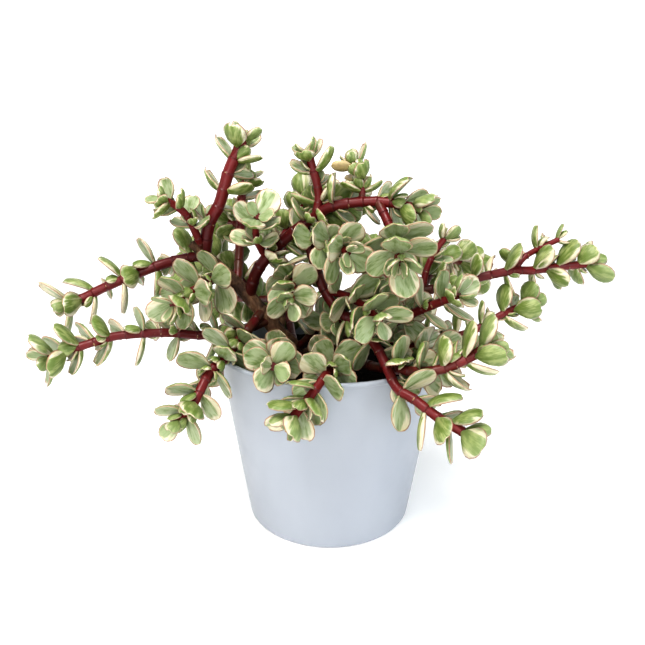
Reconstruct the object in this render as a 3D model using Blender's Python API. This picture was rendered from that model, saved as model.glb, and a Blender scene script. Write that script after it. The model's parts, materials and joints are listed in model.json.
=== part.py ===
"""A potted elephant bush: a tapered white pot, its soil, the woody trunk and the leafy shoots.

Metres, +Z up, origin at the centre of the pot's flat base. -Y is the front.
The routes of the trunk and the shoots are in millimetres from the centre of the pot's rim.
"""

import math
import random

import bmesh
import bpy
from mathutils import Matrix, Vector
from mathutils.bvhtree import BVHTree

MM = 0.001

# Pot: its outside, its wall and its rim
POT_HEIGHT = 0.1135
POT_TOP_RADIUS = 0.070
POT_BASE_RADIUS = 0.052
POT_WALL = 0.0019
POT_FLOOR = 0.0025
BASE_FILLET = 0.0025
LIP_HEIGHT = 0.0030
LIP_PROUD = 0.0006
LIP_ROUND = 0.0005
POT_SEGMENTS = 44

# Soil: how far its top lies under the rim, and the gap it keeps to the pot and the trunk
SOIL_DROP = 0.0150
SOIL_MOUND = 0.0020
SOIL_SEGMENTS = 24
CLEARANCE = 0.0003

# Plant: the pot that the routes were drawn for, and the sizes of stems and leaves
DRAWN_RIM_RADIUS = 0.070
STEM_SIDES = 5
TRUNK_SIDES = 8
TRUNK_RING_STEP = 0.011
STEM_RING_STEP = 0.012
LEAF_LENGTH = 0.0172
LEAF_WIDTH_SHARE = 0.78
LEAF_THICKNESS = 0.0028
LEAF_CUP = 0.0015
LEAF_BASE_SUNK = 0.0018
LEAF_GAP = 0.0004
LOOSE_GAP = 0.0005
NODE_SPACING = 0.0104
SEED = 11

# How leaves stand: angles in degrees, the rest as shares
LIFT_AT_BASE = 10
LIFT_GAIN = 26
LIFT_SPREAD = 8
TURN_SPREAD = 9
ROLL_SPREAD = 20
PAIR_TURN_SPREAD = 6
SIZE_SPREAD = (0.90, 1.10)
MISSING_SHARE = 0.06
TIP_CROWDING = 0.45
TIP_LEAF_SHARE = 0.66
TIP_MORE_LIFT = 12
TIP_SET_BACK = 0.0008
LAST_PAIR_ROOM = 0.0015

# Leaves that point this straight to the front are mostly shed, but for those near a shoot's tip
FRONT_FROM = 0.58
FRONT_SHED_SHARE = 0.85
KEPT_NEAR_TIP = 0.88

# A leaf keeps this much more than its own size free, and its blade this much less on its own shoot
ROOMY = 1.07
BLADE = 0.72
NEAR_MARGIN = 0.004

# Half outline of a leaf: how far along it, and how wide there, as shares of its length and half width
LEAF_OUTLINE = [(0.50, 0.98), (0.95, 0.58)]

POT_WHITE = (0.62, 0.65, 0.70)
SOIL_BLACK = (0.018, 0.014, 0.011)
BARK_BROWN = (0.13, 0.075, 0.045)
STEM_RED = (0.16, 0.022, 0.030)
LEAF_GREEN = (0.36, 0.45, 0.22)

# The trunk and its limbs: route, radius at the root end, radius at the far end
TRUNK_LIMBS = [
    ([(-19, 2, -30), (-19, 2, -18), (-24, 2, -4), (-33, 1, 6), (-41, 0, 18), (-57, 0, 36), (-76, 0, 54)],
     5.6, 3.9),
    ([(-32, 2, 4), (-31, 8, 15), (-33, 10, 27), (-34, 12, 39)], 3.0, 2.4),
    ([(-19, 3, -12), (2, 8, -3), (22, 12, 7), (41, 8, 15), (53, 2, 25), (56, 0, 35)], 4.2, 2.7),
    ([(-74, 0, 52), (-83, -4, 62)], 3.0, 2.6),
]

# name: route, radius at the base, radius at the tip, bare length at the base, leaf size, spacing of pairs
SHOOTS = {
    "left_tall": ([(-76, 0, 54), (-73, 0, 72), (-66, 1, 85), (-60, 3, 104), (-55, 5, 114), (-52, 6, 122)],
                  4.0, 3.4, 20, 1.0, 1.1),
    "left_back": ([(-57, 3, 38), (-57, 14, 54), (-56, 20, 78), (-55, 24, 92), (-51, 26, 100)],
                  3.1, 2.5, 26, 0.85, 1.0),
    "left_small": ([(-77, -1, 58), (-82, -8, 76), (-87, -13, 84), (-95, -18, 90)],
                   2.5, 2.1, 8, 0.88, 0.8),
    "left_upper": ([(-76, 1, 54), (-91, 4, 51), (-107, -2, 47), (-133, -8, 37), (-148, -12, 30), (-157, -15, 27)],
                   3.3, 2.8, 10, 1.0, 1.1),
    "left_lower": ([(-38, -1, 14), (-55, -14, 11), (-77, -20, 10), (-95, -25, 13), (-120, -34, 14),
                    (-132, -39, 12), (-144, -44, 9), (-156, -49, 6)], 3.0, 2.4, 24, 1.0, 1.1),
    "left_middle": ([(-64, 0, 43), (-72, -14, 41), (-80, -28, 38), (-87, -41, 34)],
                    2.8, 2.3, 7, 1.12, 0.8),
    "front_left": ([(-42, 0, 20), (-46, -12, 16), (-53, -26, 9), (-58, -38, 5), (-66, -52, -1),
                    (-70, -60, -8), (-74, -67, -15), (-80, -74, -21)], 3.2, 2.7, 22, 1.05, 0.95),
    "rim_left": ([(-20, 0, -10), (-9, -22, -2), (2, -50, 4), (-2, -66, 4), (-7, -76, 0), (-19, -87, -12)],
                 2.8, 2.4, 42, 1.05, 0.85),
    "rim_inner": ([(-26, 0, -2), (-30, -30, 2), (-31, -52, 6), (-30, -66, 8)], 2.6, 2.1, 34, 1.05, 0.75),
    "front_right": ([(-16, -10, 74), (-12, -16, 63), (-9, -20, 53), (-6, -23, 45), (-2, -27, 37), (5, -32, 29),
                     (13, -38, 24), (24, -50, 16), (30, -62, 7), (35, -72, -1), (43, -79, -4), (55, -86, -11),
                     (68, -91, -17)], 3.2, 2.6, 8, 1.05, 1.05),
    "right_lower": ([(3, 8, -3), (12, -16, -4), (24, -40, -1), (36, -60, 5), (47, -69, 7), (58, -72, 10),
                     (70, -71, 15), (80, -69, 21)], 3.3, 2.6, 78, 1.05, 0.8),
    "right_upper": ([(56, 0, 33), (70, 1, 36), (85, 2, 40), (109, 4, 45), (124, 7, 45), (140, 12, 46),
                     (163, 19, 47)], 3.0, 2.4, 12, 1.0, 1.0),
    "right_side": ([(112, 5, 45), (119, 9, 53), (129, 12, 58), (140, 14, 63)], 1.9, 1.7, 5, 0.85, 0.8),
    "right_back": ([(28, 12, 9), (50, 4, 1), (69, 0, 3), (87, -2, 8), (106, 2, 18), (124, 6, 25)],
                   2.8, 2.2, 36, 0.95, 0.95),
    "right_middle": ([(41, 8, 15), (38, -8, 16), (41, -26, 23), (50, -33, 30), (62, -41, 38), (69, -46, 43)],
                     3.1, 2.4, 20, 1.0, 0.85),
    "crown": ([(-50, 0, 29), (-44, -5, 46), (-33, -9, 60), (-20, -12, 72), (-9, -16, 80), (0, -19, 86),
               (17, -21, 89), (32, -24, 89), (49, -31, 86)], 3.8, 2.7, 34, 0.95, 1.0),
    "crown_top": ([(-9, -16, 80), (-7, -15, 90), (-8, -16, 98), (-10, -16, 105), (-13, -16, 115)],
                  2.8, 2.3, 8, 0.9, 0.9),
    "crown_small": ([(17, -21, 89), (17, -18, 98), (15, -17, 104), (12, -16, 109)], 2.0, 1.8, 6, 0.8, 0.75),
    "facing": ([(26, -23, 89), (31, -30, 79), (35, -44, 69), (35, -60, 63)], 2.8, 2.3, 14, 1.12, 0.8),
    "right_small": ([(56, 0, 33), (59, 6, 46), (64, 8, 56), (69, 9, 64)], 2.2, 1.9, 12, 0.85, 0.85),
    "centre_high": ([(-38, -7, 54), (-42, -18, 66), (-42, -24, 76), (-40, -30, 82)], 2.2, 1.9, 8, 0.95, 0.75),
    "centre_front": ([(-13, -15, 66), (-7, -26, 68), (1, -38, 68), (9, -50, 66)], 2.6, 2.1, 10, 1.05, 0.75),
    "centre_low": ([(-34, 12, 38), (-26, -4, 44), (-22, -20, 42), (-22, -38, 36)], 2.5, 2.0, 14, 1.05, 0.8),
    "centre_right": ([(-3, -26, 39), (8, -34, 39), (18, -46, 36), (26, -60, 32)], 2.3, 2.0, 9, 1.05, 0.75),
    "inner_front": ([(-22, 2, -6), (-8, -6, 10), (0, -16, 19), (5, -28, 22)], 2.4, 2.0, 14, 1.05, 0.75),
    "inner_right": ([(24, 12, 8), (24, -6, 22), (22, -22, 30), (30, -36, 38)], 2.5, 2.0, 16, 1.0, 0.8),
    "rim_right": ([(14, 11, 2), (34, -10, 4), (52, -32, 7), (63, -46, 5)], 2.5, 2.1, 34, 1.05, 0.75),
    "back_left": ([(-46, 0, 24), (-64, 26, 40), (-84, 56, 44), (-100, 82, 34), (-108, 98, 22)],
                  3.1, 2.3, 22, 0.95, 1.1),
    "back_centre": ([(-34, 12, 37), (-30, 34, 56), (-22, 60, 62), (-14, 88, 52), (-10, 104, 38)],
                    2.9, 2.3, 20, 0.95, 1.05),
    "back_right": ([(55, 1, 31), (66, 26, 42), (84, 52, 42), (100, 78, 32), (108, 92, 20)],
                   2.9, 2.3, 18, 0.95, 1.1),
    "back_rim_right": ([(20, 11, 6), (30, 38, 10), (42, 66, 8), (50, 84, -6), (54, 92, -22)],
                       2.8, 2.2, 40, 1.0, 0.95),
    "back_rim_left": ([(-22, 2, -6), (-28, 34, 4), (-34, 64, 6), (-38, 80, -4), (-42, 88, -22)],
                      2.8, 2.2, 40, 1.0, 0.95),
    "crown_behind": ([(-9, -16, 80), (0, 0, 85), (8, 16, 87), (14, 28, 85)], 2.3, 1.9, 8, 0.95, 0.8),
    "back_upright": ([(-30, -8, 63), (-24, 8, 74), (-18, 24, 84), (-14, 38, 90)], 2.5, 2.0, 12, 0.9, 0.85),
    "back_high": ([(-56, 18, 68), (-66, 36, 70), (-74, 54, 66), (-80, 68, 58)], 2.2, 1.9, 10, 0.9, 0.85),
    "back_low": ([(-33, 10, 25), (-52, 34, 18), (-70, 58, 12), (-82, 74, 2)], 2.6, 2.0, 22, 0.95, 0.95),
    "back_inner": ([(38, 9, 14), (36, 30, 34), (30, 50, 46), (28, 66, 44)], 2.5, 2.0, 16, 0.95, 0.85),
}

# Degrees from upright to the first leaf pair of these shoots; the others start anywhere
FIRST_TURNS = {
    "left_upper": 4, "left_lower": 94, "right_upper": 20, "front_right": 50, "front_left": 40, "rim_left": 30,
    "facing": 45, "left_tall": 60, "crown_top": 70, "crown": 10, "right_lower": 10, "left_middle": 30,
}

# The first leaves of these shoots are nodes of their own; every other leaf is joined to its stem
LOOSE_LEAVES = {"facing": 8, "right_lower": 5, "left_middle": 5}

# A leaf that would meet a neighbour is tried again with these turns, lifts (degrees) and sizes
LEAF_TRIES = [
    (0, 0, 1.0), (14, 0, 1.0), (-14, 0, 1.0), (0, 16, 1.0), (0, -16, 1.0), (28, 0, 0.95), (-28, 0, 0.95),
    (0, 0, 0.85), (20, 15, 0.85), (-20, 15, 0.85), (0, 28, 0.80), (20, -15, 0.80), (-20, -15, 0.80),
    (0, 0, 0.70), (30, 20, 0.70), (-30, 20, 0.70), (0, 30, 0.62), (35, 0, 0.60), (-35, 0, 0.60),
]


def clear_scene():
    for scene_object in list(bpy.data.objects):
        bpy.data.objects.remove(scene_object, do_unlink=True)


def material(name, colour, roughness):
    made = bpy.data.materials.new(name)
    made.use_nodes = True
    shader = made.node_tree.nodes["Principled BSDF"]
    shader.inputs["Base Color"].default_value = (*colour, 1.0)
    shader.inputs["Roughness"].default_value = roughness
    shader.inputs["Metallic"].default_value = 0.0
    made.diffuse_color = (*colour, 1.0)
    return made


def new_object(name, vertices, faces, finish, smooth=True):
    mesh = bpy.data.meshes.new(name)
    mesh.from_pydata([tuple(v) for v in vertices], [], faces)
    shape = bmesh.new()
    shape.from_mesh(mesh)
    bmesh.ops.recalc_face_normals(shape, faces=shape.faces)
    shape.to_mesh(mesh)
    shape.free()
    if smooth:
        mesh.shade_smooth()
        mesh.set_sharp_from_angle(angle=math.radians(40))
    mesh.materials.append(finish)
    made = bpy.data.objects.new(name, mesh)
    bpy.context.scene.collection.objects.link(made)
    return made


def keep_body_at(target, point):
    """Drop every separate body of an object but the one that has a vertex nearest to the point."""
    shape = bmesh.new()
    shape.from_mesh(target.data)
    start = min(shape.verts, key=lambda vertex: (vertex.co - point).length)
    kept = {start}
    edge_of_search = [start]
    while edge_of_search:
        vertex = edge_of_search.pop()
        for edge in vertex.link_edges:
            other = edge.other_vert(vertex)
            if other not in kept:
                kept.add(other)
                edge_of_search.append(other)
    bmesh.ops.delete(shape, geom=[vertex for vertex in shape.verts if vertex not in kept], context="VERTS")
    shape.to_mesh(target.data)
    shape.free()


def combine(target, tool, operation):
    """Cut the tool out of the target, or join it on, and throw the tool away."""
    change = target.modifiers.new("change", "BOOLEAN")
    change.operation = operation
    change.solver = "EXACT"
    change.use_self = operation == "UNION"
    change.object = tool
    depsgraph = bpy.context.evaluated_depsgraph_get()
    depsgraph.update()
    result = bpy.data.meshes.new_from_object(target.evaluated_get(depsgraph))
    target.modifiers.clear()
    target.data = result
    bpy.data.objects.remove(tool, do_unlink=True)


def turned(profile, segments):
    """Vertices and faces of a profile turned about Z, from a point on the axis to a point on the axis."""
    vertices = [Vector((0, 0, profile[0][1]))]
    for radius, height in profile[1:-1]:
        for step in range(segments):
            angle = math.tau * step / segments
            vertices.append(Vector((radius * math.cos(angle), radius * math.sin(angle), height)))
    vertices.append(Vector((0, 0, profile[-1][1])))
    rings = len(profile) - 2
    faces = []
    for step in range(segments):
        after = (step + 1) % segments
        faces.append((0, 1 + step, 1 + after))
        for ring in range(rings - 1):
            low = 1 + ring * segments
            high = low + segments
            faces.append((low + step, high + step, high + after, low + after))
        last = 1 + (rings - 1) * segments
        faces.append((last + step, len(vertices) - 1, last + after))
    return vertices, faces


def wall_radius(height):
    """The pot's outer radius at a height, on the straight of its wall."""
    return POT_BASE_RADIUS + (POT_TOP_RADIUS - LIP_PROUD - POT_BASE_RADIUS) * height / POT_HEIGHT


def make_pot():
    lean = math.atan2(POT_TOP_RADIUS - LIP_PROUD - POT_BASE_RADIUS, POT_HEIGHT)
    fillet = min(BASE_FILLET, POT_FLOOR)
    profile = [(0.0, 0.0)]
    for step in range(4):
        angle = math.radians(90) * step / 3
        profile.append((wall_radius(fillet) - fillet * (1 - math.sin(angle)), fillet * (1 - math.cos(angle))))
    lip_start = POT_HEIGHT - LIP_HEIGHT
    profile.append((wall_radius(lip_start), lip_start))
    profile.append((POT_TOP_RADIUS, lip_start + LIP_PROUD))
    profile.append((POT_TOP_RADIUS, POT_HEIGHT - LIP_ROUND))
    profile.append((POT_TOP_RADIUS - LIP_ROUND, POT_HEIGHT))
    inner_shift = POT_WALL / math.cos(lean)
    inner_top = wall_radius(POT_HEIGHT) - inner_shift
    profile.append((inner_top + LIP_ROUND, POT_HEIGHT))
    profile.append((inner_top, POT_HEIGHT - LIP_ROUND))
    profile.append((wall_radius(POT_FLOOR) - inner_shift, POT_FLOOR))
    profile.append((0.0, POT_FLOOR))
    return new_object("pot", *turned(profile, POT_SEGMENTS), material("pot_white", POT_WHITE, 0.35))


def soil_radius(height):
    lean = math.atan2(POT_TOP_RADIUS - POT_BASE_RADIUS, POT_HEIGHT)
    return wall_radius(height) - POT_WALL / math.cos(lean) - CLEARANCE


def soil_top(radius):
    """The soil's surface: a low mound, highest in the middle."""
    share = min(1.0, radius / soil_radius(POT_HEIGHT - SOIL_DROP))
    return POT_HEIGHT - SOIL_DROP + SOIL_MOUND * (1 - share * share)


def make_soil():
    low = POT_FLOOR + CLEARANCE
    edge = POT_HEIGHT - SOIL_DROP
    profile = [(0.0, low), (soil_radius(low), low), (soil_radius(edge), edge)]
    for share in (0.85, 0.55, 0.25):
        radius = share * soil_radius(edge)
        profile.append((radius, soil_top(radius)))
    profile.append((0.0, soil_top(0.0)))
    return new_object("soil", *turned(profile, SOIL_SEGMENTS), material("soil_black", SOIL_BLACK, 0.95), False)


def seated(point):
    """A route point in metres: it moves with the rim when the pot's height or radius changes."""
    x, y, above_rim = (value * MM for value in point)
    reach = math.hypot(x, y)
    if reach > 0:
        spread = (POT_TOP_RADIUS - DRAWN_RIM_RADIUS) * min(1.0, reach / DRAWN_RIM_RADIUS)
        x *= (reach + spread) / reach
        y *= (reach + spread) / reach
    return Vector((x, y, POT_HEIGHT + above_rim))


def smooth_route(points, spans=6):
    """A Catmull-Rom curve through the route's points."""
    ends = [points[0] * 2 - points[1], *points, points[-1] * 2 - points[-2]]
    route = []
    for index in range(1, len(ends) - 2):
        a, b, c, d = ends[index - 1:index + 3]
        for step in range(spans):
            t = step / spans
            route.append(0.5 * (2 * b + (c - a) * t + (2 * a - 5 * b + 4 * c - d) * t * t
                                + (3 * b - a - 3 * c + d) * t ** 3))
    route.append(points[-1].copy())
    return route


class Route:
    """A smooth line with a frame that turns along it without twisting."""

    def __init__(self, points):
        self.points = smooth_route([seated(point) for point in points])
        self.reach = [0.0]
        for before, after in zip(self.points, self.points[1:]):
            self.reach.append(self.reach[-1] + (after - before).length)
        self.length = self.reach[-1]
        self.along = []
        for index in range(len(self.points)):
            before = self.points[max(0, index - 1)]
            after = self.points[min(len(self.points) - 1, index + 1)]
            self.along.append((after - before).normalized())
        upright = Vector((0, 0, 1)) if abs(self.along[0].z) < 0.9 else Vector((0, -1, 0))
        side = (upright - self.along[0] * self.along[0].dot(upright)).normalized()
        self.side = [side]
        for before, after in zip(self.along, self.along[1:]):
            side = (before.rotation_difference(after) @ side).normalized()
            self.side.append(side)

    def at(self, distance):
        """Point, direction and side direction at a distance along the route."""
        distance = min(max(distance, 0.0), self.length)
        index = 0
        while index < len(self.reach) - 2 and self.reach[index + 1] < distance:
            index += 1
        share = (distance - self.reach[index]) / (self.reach[index + 1] - self.reach[index])
        point = self.points[index].lerp(self.points[index + 1], share)
        along = self.along[index].lerp(self.along[index + 1], share).normalized()
        side = self.side[index].lerp(self.side[index + 1], share)
        side = (side - along * side.dot(along)).normalized()
        return point, along, side


def tube(route, base_radius, tip_radius, sides, stations, grow=0.0):
    """Vertices and faces of a closed tube along a route, with rings at the stations, fattened by grow."""
    vertices = []
    faces = []
    for number, distance in enumerate(stations):
        point, along, side = route.at(distance)
        if number == 0:
            point = point - along * grow
        if number == len(stations) - 1:
            point = point + along * grow
        radius = base_radius + (tip_radius - base_radius) * distance / route.length
        radius += grow / math.cos(math.pi / sides)
        across = along.cross(side)
        for step in range(sides):
            angle = math.tau * step / sides
            vertices.append(point + (side * math.cos(angle) + across * math.sin(angle)) * radius)
    for ring in range(len(stations) - 1):
        low = ring * sides
        high = low + sides
        for step in range(sides):
            after = (step + 1) % sides
            faces.append((low + step, low + after, high + after, high + step))
    faces.append(tuple(reversed(range(sides))))
    faces.append(tuple(range(len(vertices) - sides, len(vertices))))
    return vertices, faces


def even_stations(length, spacing):
    count = max(2, round(length / spacing))
    return [length * step / count for step in range(count + 1)]


def make_trunk(soil):
    bark = material("bark_brown", BARK_BROWN, 0.85)
    trunk = None
    tubes = []
    for points, base_radius, tip_radius in TRUNK_LIMBS:
        route = Route(points)
        shape = (route, base_radius * MM, tip_radius * MM, TRUNK_SIDES,
                 even_stations(route.length, TRUNK_RING_STEP))
        limb = new_object("trunk" if trunk is None else "limb", *tube(*shape), bark)
        tubes.append(shape)
        if trunk is None:
            trunk = limb
        else:
            combine(trunk, limb, "UNION")
    for shape in tubes:
        combine(soil, new_object("root_space", *tube(*shape, CLEARANCE), bark), "DIFFERENCE")
    return tubes


def leaf_shape(length):
    """A leaf's vertices in its own frame: X across, Y along, Z out of its upper face, and its faces."""
    half_width = length * LEAF_WIDTH_SHARE / 2
    thickness = LEAF_THICKNESS * (0.45 + 0.55 * length / LEAF_LENGTH)
    cup = LEAF_CUP * length / LEAF_LENGTH
    rim = [Vector((0, 0, 0))]
    for along, across in LEAF_OUTLINE:
        rim.append(Vector((half_width * across, length * along, cup * across)))
    for along, across in reversed(LEAF_OUTLINE):
        rim.append(Vector((-half_width * across, length * along, cup * across)))
    top = Vector((0, length * 0.56, thickness * 0.25))
    bottom = Vector((0, length * 0.54, -thickness * 0.75))
    count = len(rim)
    faces = []
    for step in range(count):
        after = (step + 1) % count
        faces.append((step, after, count))
        faces.append((after, step, count + 1))
    return [*rim, top, bottom], faces


def leaf_frame(base, along, outward, turn, lift):
    """Where a leaf stands: it leans from the outward direction towards the shoot's tip by its lift."""
    outward = Matrix.Rotation(turn, 3, along) @ outward
    direction = (outward * math.cos(lift) + along * math.sin(lift)).normalized()
    upper = (along * math.cos(lift) - outward * math.sin(lift)).normalized()
    across = direction.cross(upper)
    return Matrix((across, direction, upper)).transposed(), base, outward


def in_open_air(point):
    """Whether a point keeps clear of the soil and of the pot's wall, inside and out."""
    radius = math.hypot(point.x, point.y)
    if point.z > POT_HEIGHT + LEAF_GAP:
        return True
    if radius < soil_radius(min(point.z, POT_HEIGHT)) - LEAF_GAP:
        return point.z > soil_top(radius) + LEAF_GAP
    return radius > POT_TOP_RADIUS + LEAF_GAP


class Neighbours:
    """What has been placed so far, to keep new leaves clear of it."""

    def __init__(self):
        self.placed = []

    def add(self, owner, vertices, faces):
        centre = sum(vertices, Vector()) / len(vertices)
        radius = max((vertex - centre).length for vertex in vertices)
        self.placed.append((owner, centre, radius, BVHTree.FromPolygons(vertices, faces)))

    def meets(self, shoot, loose, vertices, own_vertices, faces):
        """Whether a leaf meets anything: on its own shoot, a joined leaf may touch near its base."""
        centre = sum(vertices, Vector()) / len(vertices)
        radius = max((vertex - centre).length for vertex in vertices)
        whole = BVHTree.FromPolygons(vertices, faces)
        blade = BVHTree.FromPolygons(own_vertices, faces)
        for other, other_centre, other_radius, tree in self.placed:
            if other == shoot + " stem":
                continue
            if (centre - other_centre).length < radius + other_radius:
                if (blade if other == shoot and not loose else whole).overlap(tree):
                    return True
        return False


def node_stations(length, bare, spacing):
    """Where along a shoot its leaf pairs stand: they come closer together towards the tip."""
    stations = []
    distance = bare
    while distance < length - LAST_PAIR_ROOM:
        stations.append(distance)
        distance += spacing * (1.0 - TIP_CROWDING * (distance / length) ** 2)
    stations.append(length - TIP_SET_BACK)
    return stations


def leaf_plan(length, stations, size, first_turn, chance):
    """Each leaf of a shoot: its place, turn, lift, length, roll and whether it is shed if it faces the front."""
    plan = []
    turn = math.radians(chance.uniform(0, 180) if first_turn is None else first_turn)
    for distance in stations:
        share = distance / length
        at_tip = distance == stations[-1]
        grown = LEAF_LENGTH * size * (TIP_LEAF_SHARE if at_tip else 1.0)
        for half in (0, math.pi):
            jitter = math.radians(chance.uniform(-TURN_SPREAD, TURN_SPREAD))
            lift = LIFT_AT_BASE + LIFT_GAIN * share ** 2 + chance.uniform(-LIFT_SPREAD, LIFT_SPREAD)
            if at_tip:
                lift += TIP_MORE_LIFT
            roll = math.radians(chance.uniform(-ROLL_SPREAD, ROLL_SPREAD))
            leaf = grown * chance.uniform(*SIZE_SPREAD)
            missing = chance.random() < MISSING_SHARE * (1.0 - share)
            shed_in_front = chance.random() < FRONT_SHED_SHARE and share < KEPT_NEAR_TIP
            if not missing:
                plan.append((distance, turn + half + jitter, math.radians(lift), leaf, roll, shed_in_front))
        turn += math.pi / 2 + math.radians(chance.uniform(-PAIR_TURN_SPREAD, PAIR_TURN_SPREAD))
    return plan


def place_leaves(name, route, radii, plan, neighbours, finish):
    """Make a shoot's loose leaves, and give the vertices and faces of those that its stem keeps."""
    vertices = []
    faces = []
    loose_left = LOOSE_LEAVES.get(name, 0)
    loose_made = 0
    for distance, turn, lift, length, roll, shed_in_front in plan:
        point, along, side = route.at(distance)
        if shed_in_front and (Matrix.Rotation(turn, 3, along) @ side).y < -FRONT_FROM:
            continue
        radius = radii[0] + (radii[1] - radii[0]) * distance / route.length
        loose = loose_made < loose_left
        sunk = -LOOSE_GAP if loose else LEAF_BASE_SUNK
        for extra_turn, extra_lift, shrink in LEAF_TRIES:
            standing, base, outward = leaf_frame(
                point, along, side, turn + math.radians(extra_turn), lift + math.radians(extra_lift))
            base = base + outward * (radius - sunk)
            shape, shape_faces = leaf_shape(length * shrink)
            spun = Matrix.Rotation(roll, 3, "Y")
            inside = [base + standing @ (spun @ vertex) for vertex in shape]
            middle = (shape[-1] + shape[-2]) / 2
            roomy = [base + standing @ (spun @ middle.lerp(vertex, ROOMY)) for vertex in shape]
            blade = [base + standing @ (spun @ middle.lerp(vertex, BLADE)) for vertex in shape]
            if not all(in_open_air(vertex) for vertex in roomy):
                continue
            if neighbours.meets(name, loose, roomy, blade, shape_faces):
                continue
            if loose:
                loose_made += 1
                leaf_name = f"{name}_leaf_{loose_made}"
                new_object(leaf_name, inside, shape_faces, finish)
                neighbours.add(leaf_name, inside, shape_faces)
            else:
                offset = len(vertices)
                vertices += inside
                faces += [tuple(index + offset for index in face) for face in shape_faces]
                neighbours.add(name, inside, shape_faces)
            break
    return vertices, faces


def near(shape, other, margin):
    """Whether two tubes come closer than a margin."""
    reach = shape[1] + other[1] + margin
    for point in shape[0].points:
        for other_point in other[0].points:
            if (point - other_point).length < reach + NEAR_MARGIN:
                return True
    return False


def make_shoots(pot, trunk_tubes):
    red = material("stem_red", STEM_RED, 0.35)
    green = material("leaf_green", LEAF_GREEN, 0.45)
    neighbours = Neighbours()
    neighbours.add("pot", [vertex.co for vertex in pot.data.vertices],
                   [tuple(face.vertices) for face in pot.data.polygons])
    for shape in trunk_tubes:
        neighbours.add("trunk", *tube(*shape, LEAF_GAP))
    made = {}
    for name, (points, base_radius, tip_radius, bare, size, crowding) in SHOOTS.items():
        route = Route(points)
        spacing = NODE_SPACING * crowding
        nodes = node_stations(route.length, bare * MM, spacing)
        stations = [*even_stations(bare * MM, STEM_RING_STEP)[:-1], *nodes[:-1], route.length]
        shape = (route, base_radius * MM, tip_radius * MM, STEM_SIDES, stations)
        stem = new_object(name, *tube(*shape), red)
        for other in trunk_tubes + [entry[0] for entry in made.values()]:
            if near(shape, other, CLEARANCE):
                combine(stem, new_object("cutter", *tube(*other, CLEARANCE), red), "DIFFERENCE")
        keep_body_at(stem, route.points[-1])
        made[name] = (shape, stem, nodes, size)
        neighbours.add(name + " stem", *tube(*shape, LEAF_GAP))
    for number, (name, (shape, stem, nodes, size)) in enumerate(made.items()):
        chance = random.Random(SEED * 1000 + number)
        plan = leaf_plan(shape[0].length, nodes, size, FIRST_TURNS.get(name), chance)
        vertices, faces = place_leaves(name, shape[0], shape[1:3], plan, neighbours, green)
        combine(stem, new_object("leaves", vertices, faces, green), "UNION")


def build():
    clear_scene()
    pot = make_pot()
    trunk_tubes = make_trunk(make_soil())
    make_shoots(pot, trunk_tubes)


build()
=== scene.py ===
import json
import math
import random

import bmesh
import bpy
from mathutils import Matrix, Vector, noise
from mathutils.bvhtree import BVHTree

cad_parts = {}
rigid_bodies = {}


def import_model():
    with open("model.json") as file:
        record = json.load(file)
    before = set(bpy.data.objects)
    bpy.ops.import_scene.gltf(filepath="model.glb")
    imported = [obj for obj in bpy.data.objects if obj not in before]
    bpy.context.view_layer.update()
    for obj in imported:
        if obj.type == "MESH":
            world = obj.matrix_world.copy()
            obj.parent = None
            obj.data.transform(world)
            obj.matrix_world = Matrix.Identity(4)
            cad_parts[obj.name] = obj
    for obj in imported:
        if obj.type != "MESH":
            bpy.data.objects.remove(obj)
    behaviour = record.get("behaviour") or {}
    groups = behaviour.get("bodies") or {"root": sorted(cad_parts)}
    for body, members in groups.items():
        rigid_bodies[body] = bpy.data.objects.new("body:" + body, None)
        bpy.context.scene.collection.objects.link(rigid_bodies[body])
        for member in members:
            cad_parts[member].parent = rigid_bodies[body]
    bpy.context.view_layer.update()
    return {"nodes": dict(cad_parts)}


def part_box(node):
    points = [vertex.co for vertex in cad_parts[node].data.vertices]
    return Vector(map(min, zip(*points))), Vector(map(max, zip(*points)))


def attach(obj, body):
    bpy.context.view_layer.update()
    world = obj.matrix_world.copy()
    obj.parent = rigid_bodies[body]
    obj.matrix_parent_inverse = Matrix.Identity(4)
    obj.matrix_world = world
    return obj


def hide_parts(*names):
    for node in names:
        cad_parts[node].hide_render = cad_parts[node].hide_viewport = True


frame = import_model()
mm = 0.001

# short ways to add objects, nodes and materials


def addObject(name, data):
    made = bpy.data.objects.new(name, data)
    bpy.context.scene.collection.objects.link(made)
    return made


def circle(count):
    angles = [math.tau * step / count for step in range(count)]
    return [(math.cos(angle), math.sin(angle)) for angle in angles]


def fill(tree, node, inputs):
    # each input gets a socket to join or a value to hold
    for key, value in inputs.items():
        if hasattr(value, "links"):
            tree.links.new(value, node.inputs[key])
        else:
            node.inputs[key].default_value = value


def addNode(tree, kind, inputs, **values):
    node = tree.nodes.new(kind)
    for key, value in values.items():
        setattr(node, key, value)
    fill(tree, node, inputs)
    return node


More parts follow.
